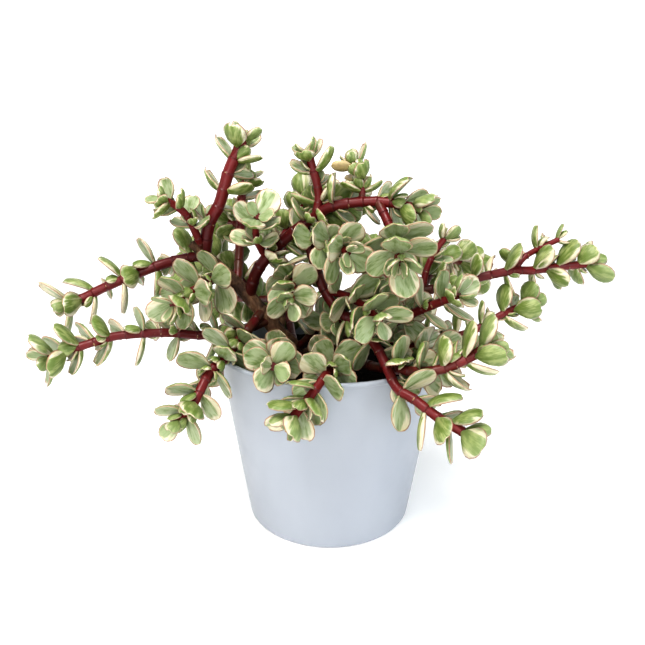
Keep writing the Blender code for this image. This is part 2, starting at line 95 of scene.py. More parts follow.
class Finish:
    # a material with a Principled shader

    def __init__(self, name, inputs):
        self.material = bpy.data.materials.new(name)
        self.material.use_nodes = True
        self.tree = self.material.node_tree
        self.set(inputs)

    def set(self, inputs):
        fill(self.tree, self.tree.nodes["Principled BSDF"], inputs)

    def node(self, kind, inputs, **values):
        return addNode(self.tree, kind, inputs, **values).outputs

    def math(self, operation, a, b=0.0):
        return self.node("ShaderNodeMath", {0: a, 1: b}, operation=operation)[0]

    def plus(self, a, b):
        return self.math("ADD", a, b)

    def minus(self, a, b):
        return self.math("SUBTRACT", a, b)

    def times(self, a, b):
        return self.math("MULTIPLY", a, b)

    def attribute(self, name, output="Fac"):
        return self.node("ShaderNodeAttribute", {}, attribute_name=name)[output]

    def place(self, scale=(1, 1, 1)):
        where = self.node("ShaderNodeTexCoord", {})["Object"]
        return self.node("ShaderNodeMapping", {"Vector": where, "Scale": scale})["Vector"]

    def noise(self, vector, scale, detail=3.0, roughness=0.55, distortion=0.0):
        return self.node("ShaderNodeTexNoise", {
            "Vector": vector, "Scale": scale, "Detail": detail, "Roughness": roughness,
            "Distortion": distortion,
        })["Fac"]

    def cells(self, vector, scale, feature="F1"):
        inputs = {"Vector": vector, "Scale": scale}
        return self.node("ShaderNodeTexVoronoi", inputs, feature=feature)["Distance"]

    def vector(self, *parts):
        return self.node("ShaderNodeCombineXYZ", dict(enumerate(parts)))[0]

    def parts(self, vector):
        return self.node("ShaderNodeSeparateXYZ", {0: vector})

    def step(self, value, low, high, start=0.0, end=1.0):
        entries = dict(enumerate((value, low, high, start, end)))
        return self.node("ShaderNodeMapRange", entries, interpolation_type="SMOOTHSTEP")["Result"]

    def ramp(self, value, stops):
        node = addNode(self.tree, "ShaderNodeValToRGB", {"Fac": value})
        points = node.color_ramp.elements
        while len(points) < len(stops):
            points.new(0.5)
        for point, (position, colour) in zip(points, stops):
            point.position = position
            point.color = (*colour, 1)
        return node.outputs["Color"]

    def mix(self, share, *colours):
        first, second = ((*colour, 1) if isinstance(colour, tuple) else colour for colour in colours)
        return self.node("ShaderNodeMix", {0: share, 6: first, 7: second}, data_type="RGBA")[2]

    def bump(self, height, strength, depth):
        raised = self.node("ShaderNodeBump", {"Height": height, "Strength": strength, "Distance": depth})
        self.set({"Normal": raised["Normal"]})

    def colour(self, source):
        self.set({"Base Color": source})

    def roughness(self, source):
        self.set({"Roughness": source})


# camera, light and floor

viewPoint = {
    "place": (0.0, -0.383, 0.242),
    "pitch": 16.85,  # degrees under the horizon
    "yaw": -0.72,
    "roll": 0.29,
    "lens": 36.0,
    "sensor": 36.0,
    "nearest": 0.01,
}


def setCamera():
    yaw, pitch, roll = (math.radians(viewPoint[key]) for key in ("yaw", "pitch", "roll"))
    forward = Vector((math.sin(yaw) * math.cos(pitch), math.cos(yaw) * math.cos(pitch), -math.sin(pitch)))
    right = Vector((math.cos(yaw), -math.sin(yaw), 0))
    up = right.cross(forward)
    tiltedRight = right * math.cos(roll) + up * math.sin(roll)
    tiltedUp = up * math.cos(roll) - right * math.sin(roll)
    turn = Matrix((tiltedRight, tiltedUp, -forward)).transposed()
    camera = addObject("camera", bpy.data.cameras.new("camera"))
    camera.data.lens = viewPoint["lens"]
    camera.data.sensor_width = viewPoint["sensor"]
    camera.data.clip_start = viewPoint["nearest"]
    camera.matrix_world = Matrix.Translation(viewPoint["place"]) @ turn.to_4x4()
    bpy.context.scene.camera = camera


studio = {
    "floorRadius": 6.0,
    "floorSides": 64,
    "floorLevel": -0.0002,
    "floorColour": (0.85, 0.85, 0.85),
    "floorGlow": (0.18, 0.74),  # near the pot, far away
    "glowFrom": (0.5, 2.2),
    "roomColour": (1.0, 1.0, 1.0),
    "horizonStrength": 0.92,
    "skyStrength": 0.12,
    "skyFade": (0.34, 0.60),  # heights between which the bright band gives way to the sky
    "lamps": [  # place, aimed at, size, watts, colour
        ((-0.26, -0.50, 1.30), (0, 0, 0.16), 0.75, 15.5, (1.0, 0.985, 0.95)),
        ((0.95, -0.35, 0.65), (0, 0, 0.08), 0.7, 2.8, (0.72, 0.87, 1.0)),
        ((-0.15, -1.25, 0.62), (0, 0, 0.16), 0.9, 4.6, (1.0, 0.99, 0.97)),
        ((0.0, 0.9, 1.2), (0, 0, 0.2), 0.8, 1.8, (1.0, 1.0, 1.0)),
    ],
}


def paperFinish():
    # white paper that glows a little more further away, so that it has no edge
    look = Finish("paperWhite", {
        "Base Color": (*studio["floorColour"], 1), "Roughness": 0.9, "Specular IOR Level": 0.1,
        "Emission Color": (1, 1, 1, 1),
    })
    x, y = look.parts(look.place())[:2]
    away = look.math("SQRT", look.plus(look.times(x, x), look.times(y, y)))
    look.set({"Emission Strength": look.step(away, *studio["glowFrom"], *studio["floorGlow"])})
    return look.material


def setRoom():
    world = bpy.data.worlds.new("room")
    world.use_nodes = True
    tree = world.node_tree
    where = addNode(tree, "ShaderNodeTexCoord", {}).outputs["Generated"]
    height = addNode(tree, "ShaderNodeSeparateXYZ", {0: where}).outputs["Z"]
    levels = (height, *studio["skyFade"], studio["horizonStrength"], studio["skyStrength"])
    fade = addNode(tree, "ShaderNodeMapRange", dict(enumerate(levels)), interpolation_type="SMOOTHSTEP")
    colour = (*studio["roomColour"], 1)
    fill(tree, tree.nodes["Background"], {"Color": colour, "Strength": fade.outputs["Result"]})
    bpy.context.scene.world = world


def setStudio():
    view = bpy.context.scene.view_settings
    view.view_transform = "Standard"
    view.look = "High Contrast"
    setRoom()
    for number, (place, target, size, watts, colour) in enumerate(studio["lamps"]):
        lamp = bpy.data.lights.new(f"lamp{number}", "AREA")
        lamp.shape = "DISK"
        lamp.size = size
        lamp.energy = watts
        lamp.color = colour
        holder = addObject(f"lamp{number}", lamp)
        holder.location = place
        holder.rotation_euler = (Vector(target) - Vector(place)).to_track_quat("-Z", "Y").to_euler()
    reach = studio["floorRadius"]
    rim = [(reach * x, reach * y, studio["floorLevel"]) for x, y in circle(studio["floorSides"])]
    mesh = bpy.data.meshes.new("floor")
    mesh.from_pydata(rim, [], [tuple(range(len(rim)))])
    mesh.materials.append(paperFinish())
    addObject("floor", mesh)


setCamera()
setStudio()
print("camera, lamps and floor are set")

# materials

potLook = {
    "white": (0.352, 0.376, 0.420),
    "shade": (0.330, 0.352, 0.396),
    "scuff": (0.30, 0.31, 0.33),
    "coat": 0.15,
}


def potFinish():
    look = Finish("whiteCeramic", {"Coat Weight": potLook["coat"], "Coat Roughness": 0.25})
    where = look.place()
    cloudy = look.noise(look.place((1, 1, 0.35)), 22.0, 3.0)
    tone = look.mix(look.step(cloudy, 0.35, 0.7), potLook["white"], potLook["shade"])
    specks = look.step(look.noise(where, 900.0, 2.0), 0.70, 0.78)
    look.colour(look.mix(look.times(specks, 0.25), tone, potLook["scuff"]))
    look.roughness(look.step(look.noise(where, 60.0, 4.0), 0.3, 0.75, 0.36, 0.50))
    waves = look.plus(look.noise(where, 30.0, 2.0), look.times(look.noise(where, 1500.0, 2.0), 0.05))
    look.bump(waves, 0.12, 0.0012)
    return look.material


soilLook = {
    "dark": (0.010, 0.008, 0.006),
    "brown": (0.045, 0.030, 0.020),
    "pale": (0.16, 0.12, 0.08),
}


def soilFinish():
    look = Finish("pottingSoil", {"Roughness": 0.95, "Specular IOR Level": 0.2})
    where = look.place()
    grains = look.noise(where, 420.0, 6.0, 0.7)
    tone = look.ramp(grains, [(0.30, soilLook["dark"]), (0.60, soilLook["brown"]), (0.80, soilLook["pale"])])
    look.colour(look.mix(look.step(look.cells(where, 260.0), 0.1, 0.5), tone, soilLook["dark"]))
    look.bump(look.plus(grains, look.cells(where, 500.0)), 0.9, 0.0008)
    return look.material


def crumbFinish():
    look = Finish("soilCrumbs", {"Roughness": 0.9, "Specular IOR Level": 0.2})
    where = look.place()
    shade = look.attribute("crumbTint")
    tone = look.ramp(shade, [(0.0, soilLook["dark"]), (0.7, soilLook["brown"]), (1.0, soilLook["pale"])])
    look.colour(look.mix(look.noise(where, 900.0, 3.0), tone, soilLook["dark"]))
    look.bump(look.noise(where, 1600.0, 4.0), 0.7, 0.0004)
    return look.material


barkLook = {
    "deep": (0.050, 0.024, 0.014),
    "brown": (0.180, 0.096, 0.052),
    "ridge": (0.42, 0.28, 0.17),
}


def barkFinish():
    look = Finish("barkBrown", {"Roughness": 0.75})
    lengthwise = look.noise(look.place((1, 1, 0.30)), 260.0, 5.0, 0.65, 0.6)
    patches = look.noise(look.place(), 70.0, 4.0)
    stops = [(0.28, barkLook["deep"]), (0.52, barkLook["brown"]), (0.74, barkLook["ridge"])]
    tone = look.ramp(lengthwise, stops)
    look.colour(look.mix(look.step(patches, 0.45, 0.7), tone, barkLook["deep"]))
    cracks = look.cells(look.place((1, 1, 0.4)), 420.0, "DISTANCE_TO_EDGE")
    look.bump(look.plus(lengthwise, cracks), 0.8, 0.0012)
    return look.material


stemLook = {
    "woody": (0.085, 0.038, 0.020),
    "old": (0.058, 0.013, 0.009),
    "ripe": (0.095, 0.009, 0.011),
    "young": (0.165, 0.017, 0.018),
    "ring": (0.022, 0.005, 0.004),
    "fleck": (0.36, 0.20, 0.12),
}


def stemFinish():
    look = Finish("burgundyStem", {"Specular IOR Level": 0.35, "Coat Weight": 0.08, "Coat Roughness": 0.30})
    where = look.place()
    age = look.attribute("stemAge")
    mottled = look.noise(where, 180.0, 4.0)
    aged = look.plus(age, look.times(look.minus(mottled, 0.5), 0.5))
    tone = look.ramp(aged, [(0.0, stemLook["young"]), (0.5, stemLook["ripe"]), (1.0, stemLook["old"])])
    barked = look.times(look.attribute("stemWood"), look.step(mottled, 0.30, 0.60))
    tone = look.mix(look.times(barked, 0.85), tone, stemLook["woody"])
    tone = look.mix(look.times(look.attribute("stemRing"), 0.50), tone, stemLook["ring"])
    flecks = look.step(look.noise(where, 650.0, 2.0, 0.5), 0.68, 0.74)
    look.colour(look.mix(look.times(flecks, look.times(age, 0.7)), tone, stemLook["fleck"]))
    look.roughness(look.step(look.noise(where, 320.0, 3.0), 0.3, 0.7, 0.30, 0.46))
    look.bump(look.plus(mottled, look.noise(where, 700.0, 4.0)), 0.25, 0.0006)
    return look.material


leafLook = {
    "powder": (0.350, 0.405, 0.245),
    "green": (0.165, 0.228, 0.078),
    "deep": (0.065, 0.098, 0.018),
    "fresh": (0.258, 0.322, 0.162),
    # under: the underside's own green, made darker as painted shade for the side turned away from the light
    "under": (0.140, 0.195, 0.045),
    "streak": (0.330, 0.370, 0.160),
    "cream": (0.555, 0.500, 0.340),
    "paleCream": (0.655, 0.610, 0.490),
    "edge": (0.350, 0.195, 0.130),
    "blush": (0.299, 0.097, 0.066),
    "dry": (0.458, 0.290, 0.097),
}


def leafFinish():
    look = Finish("variegatedLeaf", {
        "Subsurface Weight": 0.10, "Subsurface Radius": (0.0012, 0.0016, 0.0006), "Subsurface Scale": 1.0,
        "Coat Weight": 0.12, "Coat Roughness": 0.32,
    })
    across, along, upper = look.parts(look.attribute("leafPlace", "Vector"))[:3]
    tint = look.attribute("leafTint")
    margin = look.attribute("leafMargin")
    young = look.attribute("leafYoung")

    # streaks that spread from the foot, and clouds between them
    shift = look.times(tint, 57.0)
    fan = look.math("DIVIDE", across, look.plus(look.times(along, 0.8), 0.35))
    flow = look.vector(fan, look.times(along, 0.40), shift)
    broad = look.noise(flow, 1.7, 1.5)
    middling = look.noise(flow, 3.6, 3.0)
    fine = look.noise(look.vector(fan, look.times(along, 0.22), shift), 11.0, 4.0, 0.65)
    cloudy = look.noise(look.vector(across, along, shift), 2.6, 3.0)
    patch = look.plus(look.times(middling, 0.30), look.times(fine, 0.25))
    patch = look.plus(patch, look.times(cloudy, 0.45))

    # the green of the upper side and of the lower side; the lower side's darker green is partly its own tone
    # and partly painted shade
    green = look.mix(look.step(patch, 0.38, 0.56), leafLook["green"], leafLook["powder"])
    under = look.mix(look.step(patch, 0.44, 0.62), leafLook["under"], leafLook["streak"])
    dark = look.step(patch, 0.42, 0.30)
    green = look.mix(look.times(young, 0.7), look.mix(dark, green, leafLook["deep"]), leafLook["fresh"])
    under = look.mix(look.times(young, 0.4), look.mix(dark, under, leafLook["deep"]), leafLook["fresh"])
    body = look.mix(upper, under, green)

    # a cream margin of uneven width
    cream = look.mix(look.step(middling, 0.35, 0.65), leafLook["cream"], leafLook["paleCream"])
    lean = look.times(across, look.minus(look.math("FRACT", look.times(tint, 7.3)), 0.5))
    wander = look.plus(look.times(look.minus(broad, 0.5), 2.2), look.times(lean, 0.9))
    ragged = look.times(look.minus(fine, 0.5), 0.55)
    edge = look.plus(look.plus(margin, wander), ragged)
    start = look.minus(1.02, look.times(look.attribute("leafCream"), 0.50))
    start = look.plus(start, look.times(look.minus(1.0, upper), 0.08))
    share = look.step(edge, look.minus(start, 0.22), look.plus(start, 0.14))
    body = look.mix(look.times(share, 0.92), body, cream)
    body = look.mix(look.times(look.step(margin, 0.80, 0.96), 0.75), body, cream)

    # the thin line round the edge, the foot, and the leaves that dry out
    line = look.step(look.plus(margin, look.times(ragged, 0.12)), 0.87, 0.955)
    blush = look.mix(look.step(along, 0.55, 1.0), leafLook["edge"], leafLook["blush"])
    rim = look.mix(look.attribute("leafBlush"), leafLook["edge"], blush)
    body = look.mix(look.times(line, 0.88), body, rim)
    body = look.mix(look.times(look.step(along, 0.16, 0.02), 0.5), body, leafLook["fresh"])
    look.colour(look.mix(look.attribute("leafDry"), body, look.mix(fine, leafLook["dry"], leafLook["cream"])))
    look.roughness(look.step(fine, 0.3, 0.7, 0.38, 0.52))
    look.bump(look.plus(fine, look.times(middling, 1.2)), 0.28, 0.0007)
    return look.material


finishes = {
    "pot": potFinish(),
    "soil": soilFinish(),
    "crumbs": crumbFinish(),
    "bark": barkFinish(),
    "stem": stemFinish(),
    "leaf": leafFinish(),
}
print("materials are ready")

# meshes and node trees


def setMesh(name, vertices, faces, edges=()):
    mesh = bpy.data.meshes.new(name)
    mesh.from_pydata([tuple(vertex) for vertex in vertices], list(edges), faces)
    return mesh


def setLayers(mesh, layers):
    # layers: name -> (kind, values)
    for label, (kind, values) in layers.items():
        layer = mesh.attributes.new(label, kind, "POINT")
        if kind == "FLOAT_VECTOR":
            layer.data.foreach_set("vector", [part for value in values for part in value])
        else:
            layer.data.foreach_set("value", values)


def newPiece(name, vertices, faces, finish=None):
    mesh = setMesh(name, vertices, faces)
    shape = bmesh.new()
    shape.from_mesh(mesh)
    bmesh.ops.recalc_face_normals(shape, faces=shape.faces)
    shape.to_mesh(mesh)
    shape.free()
    mesh.shade_smooth()
    if finish:
        mesh.materials.append(finish)
    return addObject(name, mesh)


def pointCloud(name, points, layers, edges=()):
    mesh = setMesh(name, points, [], edges)
    setLayers(mesh, layers)
    return addObject(name, mesh)


def turned(profile, segments):
    vertices = [Vector((0, 0, profile[0][1]))]
    for radius, height in profile[1:-1]:
        vertices += [Vector((radius * x, radius * y, height)) for x, y in circle(segments)]
    vertices.append(Vector((0, 0, profile[-1][1])))
    rings = len(profile) - 2
    faces = []
    for step in range(segments):
        after = (step + 1) % segments
        faces.append((0, 1 + step, 1 + after))
        for ring in range(rings - 1):
            low = 1 + ring * segments
            high = low + segments
            faces.append((low + step, high + step, high + after, low + after))
        last = 1 + (rings - 1) * segments
        faces.append((last + step, len(vertices) - 1, last + after))
    return vertices, faces


def sleeve(sides, rings):
    # the faces between rings of vertices
    faces = []
    for low in range(0, (rings - 1) * sides, sides):
        for step in range(sides):
            after = (step + 1) % sides
            faces.append((low + step, low + after, low + sides + after, low + sides + step))
    return faces


def settle(piece, slot, *nodes):
    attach(piece, "root")
    if nodes:
        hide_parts(*nodes)


class Tree:
    # a Geometry Nodes tree with named inputs

    def __init__(self, name, inputs):
        self.group = bpy.data.node_groups.new(name, "GeometryNodeTree")
        sides = self.group.interface
        self.keys = {}
        sockets = {"Geometry": ("Geometry", None), **inputs, "Finish": ("Material", None)}
        for label, (kind, value) in sockets.items():
            socket = sides.new_socket(label, in_out="INPUT", socket_type="NodeSocket" + kind)
            if value is not None:
                socket.default_value = value
            self.keys[label] = socket.identifier
        sides.new_socket("Geometry", in_out="OUTPUT", socket_type="NodeSocketGeometry")
        self.start = self.node("NodeGroupInput", {})

    def node(self, kind, inputs, **values):
        return addNode(self.group, kind, inputs, **values).outputs

    def named(self, name, kind="FLOAT"):
        return self.node("GeometryNodeInputNamedAttribute", {"Name": name}, data_type=kind)["Attribute"]

    def turn(self, name):
        return self.node("FunctionNodeEulerToRotation", {0: self.named(name, "FLOAT_VECTOR")})[0]

    def finish(self, geometry):
        # realise, smooth, then the material, so that the result is a plain mesh
        realised = self.node("GeometryNodeRealizeInstances", {"Geometry": geometry})[0]
        smooth = self.node("GeometryNodeSetShadeSmooth", {"Geometry": realised})[0]
        paint = {"Geometry": smooth, "Material": self.start["Finish"]}
        self.node("NodeGroupOutput", {"Geometry": self.node("GeometryNodeSetMaterial", paint)[0]})

    def grow(self, source, name, **values):
        # run the tree on a source object and keep the result as a plain mesh
        modifier = source.modifiers.new("grow", "NODES")
        modifier.node_group = self.group
        for label, value in values.items():
            modifier[self.keys[label]] = value
        bpy.context.view_layer.update()
        depsgraph = bpy.context.evaluated_depsgraph_get()
        mesh = bpy.data.meshes.new_from_object(source.evaluated_get(depsgraph))
        mesh.name = name
        source.modifiers.clear()
        bpy.data.objects.remove(source, do_unlink=True)
        return addObject(name, mesh)


# the pot

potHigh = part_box("pot")[1]
potSize = {
    "height": potHigh.z,
    "topRadius": potHigh.x,
    "baseRadius": 0.052,
    "wall": 0.0019,
    "floor": 0.0025,
    "fillet": 0.0025,
    "footInset": 0.006,
    "footHollow": 0.0008,
    "lipHeight": 0.0030,
    "lipProud": 0.0006,
    "rounding": 0.0009,
    "segments": 160,
}


def wallRadius(height):
    spread = potSize["topRadius"] - potSize["lipProud"] - potSize["baseRadius"]
    return potSize["baseRadius"] + spread * height / potSize["height"]


def quarter(steps):
    # a quarter of a circle: how far round it is from the start, and how much is left
    angles = [math.radians(90) * step / steps for step in range(steps + 1)]
    return [(1 - math.cos(angle), 1 - math.sin(angle)) for angle in angles]


def potProfile():
    height, fillet, rounding, top = (potSize[key] for key in ("height", "fillet", "rounding", "topRadius"))
    foot = wallRadius(0) - potSize["footInset"]
    hollow = potSize["footHollow"]
    profile = [(0.0, hollow), (foot - 0.001, hollow), (foot, 0.0)]
    profile += [(wallRadius(fillet) - fillet * rest, fillet * done) for done, rest in quarter(8)]
    lipStart = height - potSize["lipHeight"]  # from here a narrow lip stands proud of the wall
    for step in range(1, 13):
        level = fillet + (lipStart - 0.0004 - fillet) * step / 12
        profile.append((wallRadius(level), level))
    under = wallRadius(lipStart)
    profile.append((under + 0.0001, lipStart - 0.0001))
    for share, rise in ((0.45, 0.0001), (0.8, 0.0004), (1.0, 0.0009)):
        profile.append((under + (top - under) * share, lipStart + rise))
    inner = wallRadius(height) - potSize["wall"]
    profile += [(top - rounding * done, height - rounding * rest) for done, rest in quarter(5)]
    profile += [(inner + rounding * rest, height - rounding * done) for done, rest in quarter(5)[1:]]
    for step in range(1, 7):
        level = height - rounding + (potSize["floor"] - height + rounding) * step / 6
        profile.append((wallRadius(level) - potSize["wall"], level))
    profile.append((0.0, potSize["floor"]))
    return profile


pot = newPiece("white_pot", *turned(potProfile(), potSize["segments"]), finishes["pot"])
pot.data.set_sharp_from_angle(angle=math.radians(50))
settle(pot, "pot_white", "pot")
print("pot is turned")

# the soil and its crumbs

soilSize = {
    "drop": 0.0150,  # from the rim to the soil
    "mound": 0.0020,
    "clearance": 0.0003,
    "rings": 26,
    "segments": 90,
    "roughness": 0.0011,
    "lumps": ((140.0, 1.0), (420.0, 0.6)),  # scale, share
    "crumbSize": 0.0017,
    "crumbDensity": 52000.0,  # crumbs in a square metre
    "crumbLeast": (0.35, 0.35, 0.3),
    "crumbMost": (1.5, 1.2, 0.8),
    "crumbSeed": 5,
}
soilEdge = potSize["height"] - soilSize["drop"]


def soilRadius(height):
    lean = math.atan2(potSize["topRadius"] - potSize["baseRadius"], potSize["height"])
    return wallRadius(height) - potSize["wall"] / math.cos(lean) - soilSize["clearance"]


def soilTop(radius):
    share = min(1.0, radius / soilRadius(soilEdge))
    return soilEdge + soilSize["mound"] * (1 - share * share)


def makeSoil():
    low = potSize["floor"] + soilSize["clearance"]
    profile = [(0.0, low), (soilRadius(low), low), (soilRadius(soilEdge - 0.002), soilEdge - 0.002)]
    for ring in range(soilSize["rings"]):
        radius = soilRadius(soilEdge) * (1 - ring / soilSize["rings"])
        profile.append((radius, soilTop(radius)))
    profile.append((0.0, soilTop(0.0)))
    vertices, faces = turned(profile, soilSize["segments"])
    firstTop = 1 + 2 * soilSize["segments"]
    for vertex in vertices[firstTop:]:
        lumps = sum(share * noise.noise(vertex * scale) for scale, share in soilSize["lumps"])
        vertex.z += soilSize["roughness"] * lumps
    return newPiece("potting_soil", vertices, faces, finishes["soil"])


def crumbTree():
    tree = Tree("soilCrumbs", {
        "Crumb_Size": ("Float", soilSize["crumbSize"]),
        "Crumb_Density": ("Float", soilSize["crumbDensity"]),
        "Seed": ("Int", soilSize["crumbSeed"]),
    })
    given = tree.start
    spots = tree.node("GeometryNodeDistributePointsOnFaces", {
        "Mesh": given["Geometry"], "Density": given["Crumb_Density"], "Seed": given["Seed"],
    })["Points"]
    tint = tree.node("FunctionNodeRandomValue", {"Seed": 3}, data_type="FLOAT")[1]
    tinted = tree.node("GeometryNodeStoreNamedAttribute", {
        "Geometry": spots, "Name": "crumbTint", "Value": tint,
    }, data_type="FLOAT", domain="POINT")["Geometry"]
    crumb = tree.node("GeometryNodeMeshIcoSphere", {"Radius": 0.5, "Subdivisions": 1})["Mesh"]
    angles = tree.node("FunctionNodeRandomValue", {1: (6.2, 6.2, 6.2), "Seed": 1}, data_type="FLOAT_VECTOR")[0]
    spin = tree.node("FunctionNodeEulerToRotation", {0: angles})[0]
    stretch = tree.node("FunctionNodeRandomValue", {
        0: soilSize["crumbLeast"], 1: soilSize["crumbMost"], "Seed": 2,
    }, data_type="FLOAT_VECTOR")[0]
    size = tree.node("ShaderNodeVectorMath", {0: stretch, "Scale": given["Crumb_Size"]}, operation="SCALE")[0]
    tree.finish(tree.node("GeometryNodeInstanceOnPoints", {
        "Points": tinted, "Instance": crumb, "Rotation": spin, "Scale": size,
    })["Instances"])
    return tree


def crumbBed():
    # the part of the soil's top where crumbs lie, without an underside
    rings = [(0.0, soilTop(0) + 0.0003), (0.02, soilTop(0.02)), (0.04, soilTop(0.04)),
             (soilRadius(soilEdge) - 0.002, soilEdge), (0.0, soilEdge - 0.001)]
    vertices, faces = turned(rings, 48)
    last = len(vertices) - 1
    faces = [face for face in faces if last not in face]
    return addObject("crumbBed", setMesh("crumbBed", vertices[:-1], faces))


settle(makeSoil(), "soil_black", "soil")
crumbs = crumbTree().grow(crumbBed(), "soil_crumbs", Finish=finishes["crumbs"])
crumbs.data.shade_flat()
settle(crumbs, "soil_black")
print("soil is filled,", len(crumbs.data.polygons), "crumb faces")

# how the plant grows: its routes are in millimetres from the centre of the pot's rim

plant = {
    "leafLength": 0.0172,
    "leafThickness": 0.0028,
    "leafCup": 0.0015,
    "leafBaseSunk": 0.0018,
    "leafGap": 0.0004,  # air that a leaf keeps round itself
    "looseGap": 0.0005,
    "nodeSpacing": 0.0104,
    "seed": 11,
    "stemSides": 5,
    "trunkSides": 8,
    "trunkRingStep": 0.011,
    "stemRingStep": 0.012,
    "drawnRimRadius": 0.070,  # the rim that the routes were drawn for
    "liftAtBase": 10,  # this and the next five are degrees
    "liftGain": 26,
    "liftSpread": 8,
    "turnSpread": 9,
    "rollSpread": 20,
    "pairTurnSpread": 6,
    "sizeSpread": (0.90, 1.10),
    "missingShare": 0.06,
    "tipCrowding": 0.45,
    "tipLeafShare": 0.66,
    "tipMoreLift": 12,  # degrees
    "tipSetBack": 0.0008,
    "lastPairRoom": 0.0015,
    "frontFrom": 0.58,  # leaves that face the front more than this may be shed
    "frontShedShare": 0.85,
    "keptNearTip": 0.88,  # share of the stem past which none is shed
    "roomy": 1.07,  # size that has to be clear of other shoots
    "blade": 0.72,  # size that has to be clear of leaves of the same shoot
}

leafBody = {  # the simple leaf that keeps neighbours apart, in shares of its own size
    "width": 0.78,
    "outline": [(0.50, 0.98), (0.95, 0.58)],  # along, across
    "top": (0.56, 0.25),  # along, up
    "bottom": (0.54, -0.75),
    "plump": (0.45, 0.55),  # thickness of the smallest leaf, and what length adds to it
}

trunkLimbs = [  # route, radius at the root end, radius at the far end
    ([(-19, 2, -30), (-19, 2, -18), (-24, 2, -4), (-33, 1, 6), (-41, 0, 18), (-57, 0, 36), (-76, 0, 54)],
     5.6, 3.9),
    ([(-32, 2, 4), (-31, 8, 15), (-33, 10, 27), (-34, 12, 39)], 3.0, 2.4),
    ([(-19, 3, -12), (2, 8, -3), (22, 12, 7), (41, 8, 15), (53, 2, 25), (56, 0, 35)], 4.2, 2.7),
    ([(-74, 0, 52), (-83, -4, 62)], 3.0, 2.6),
]

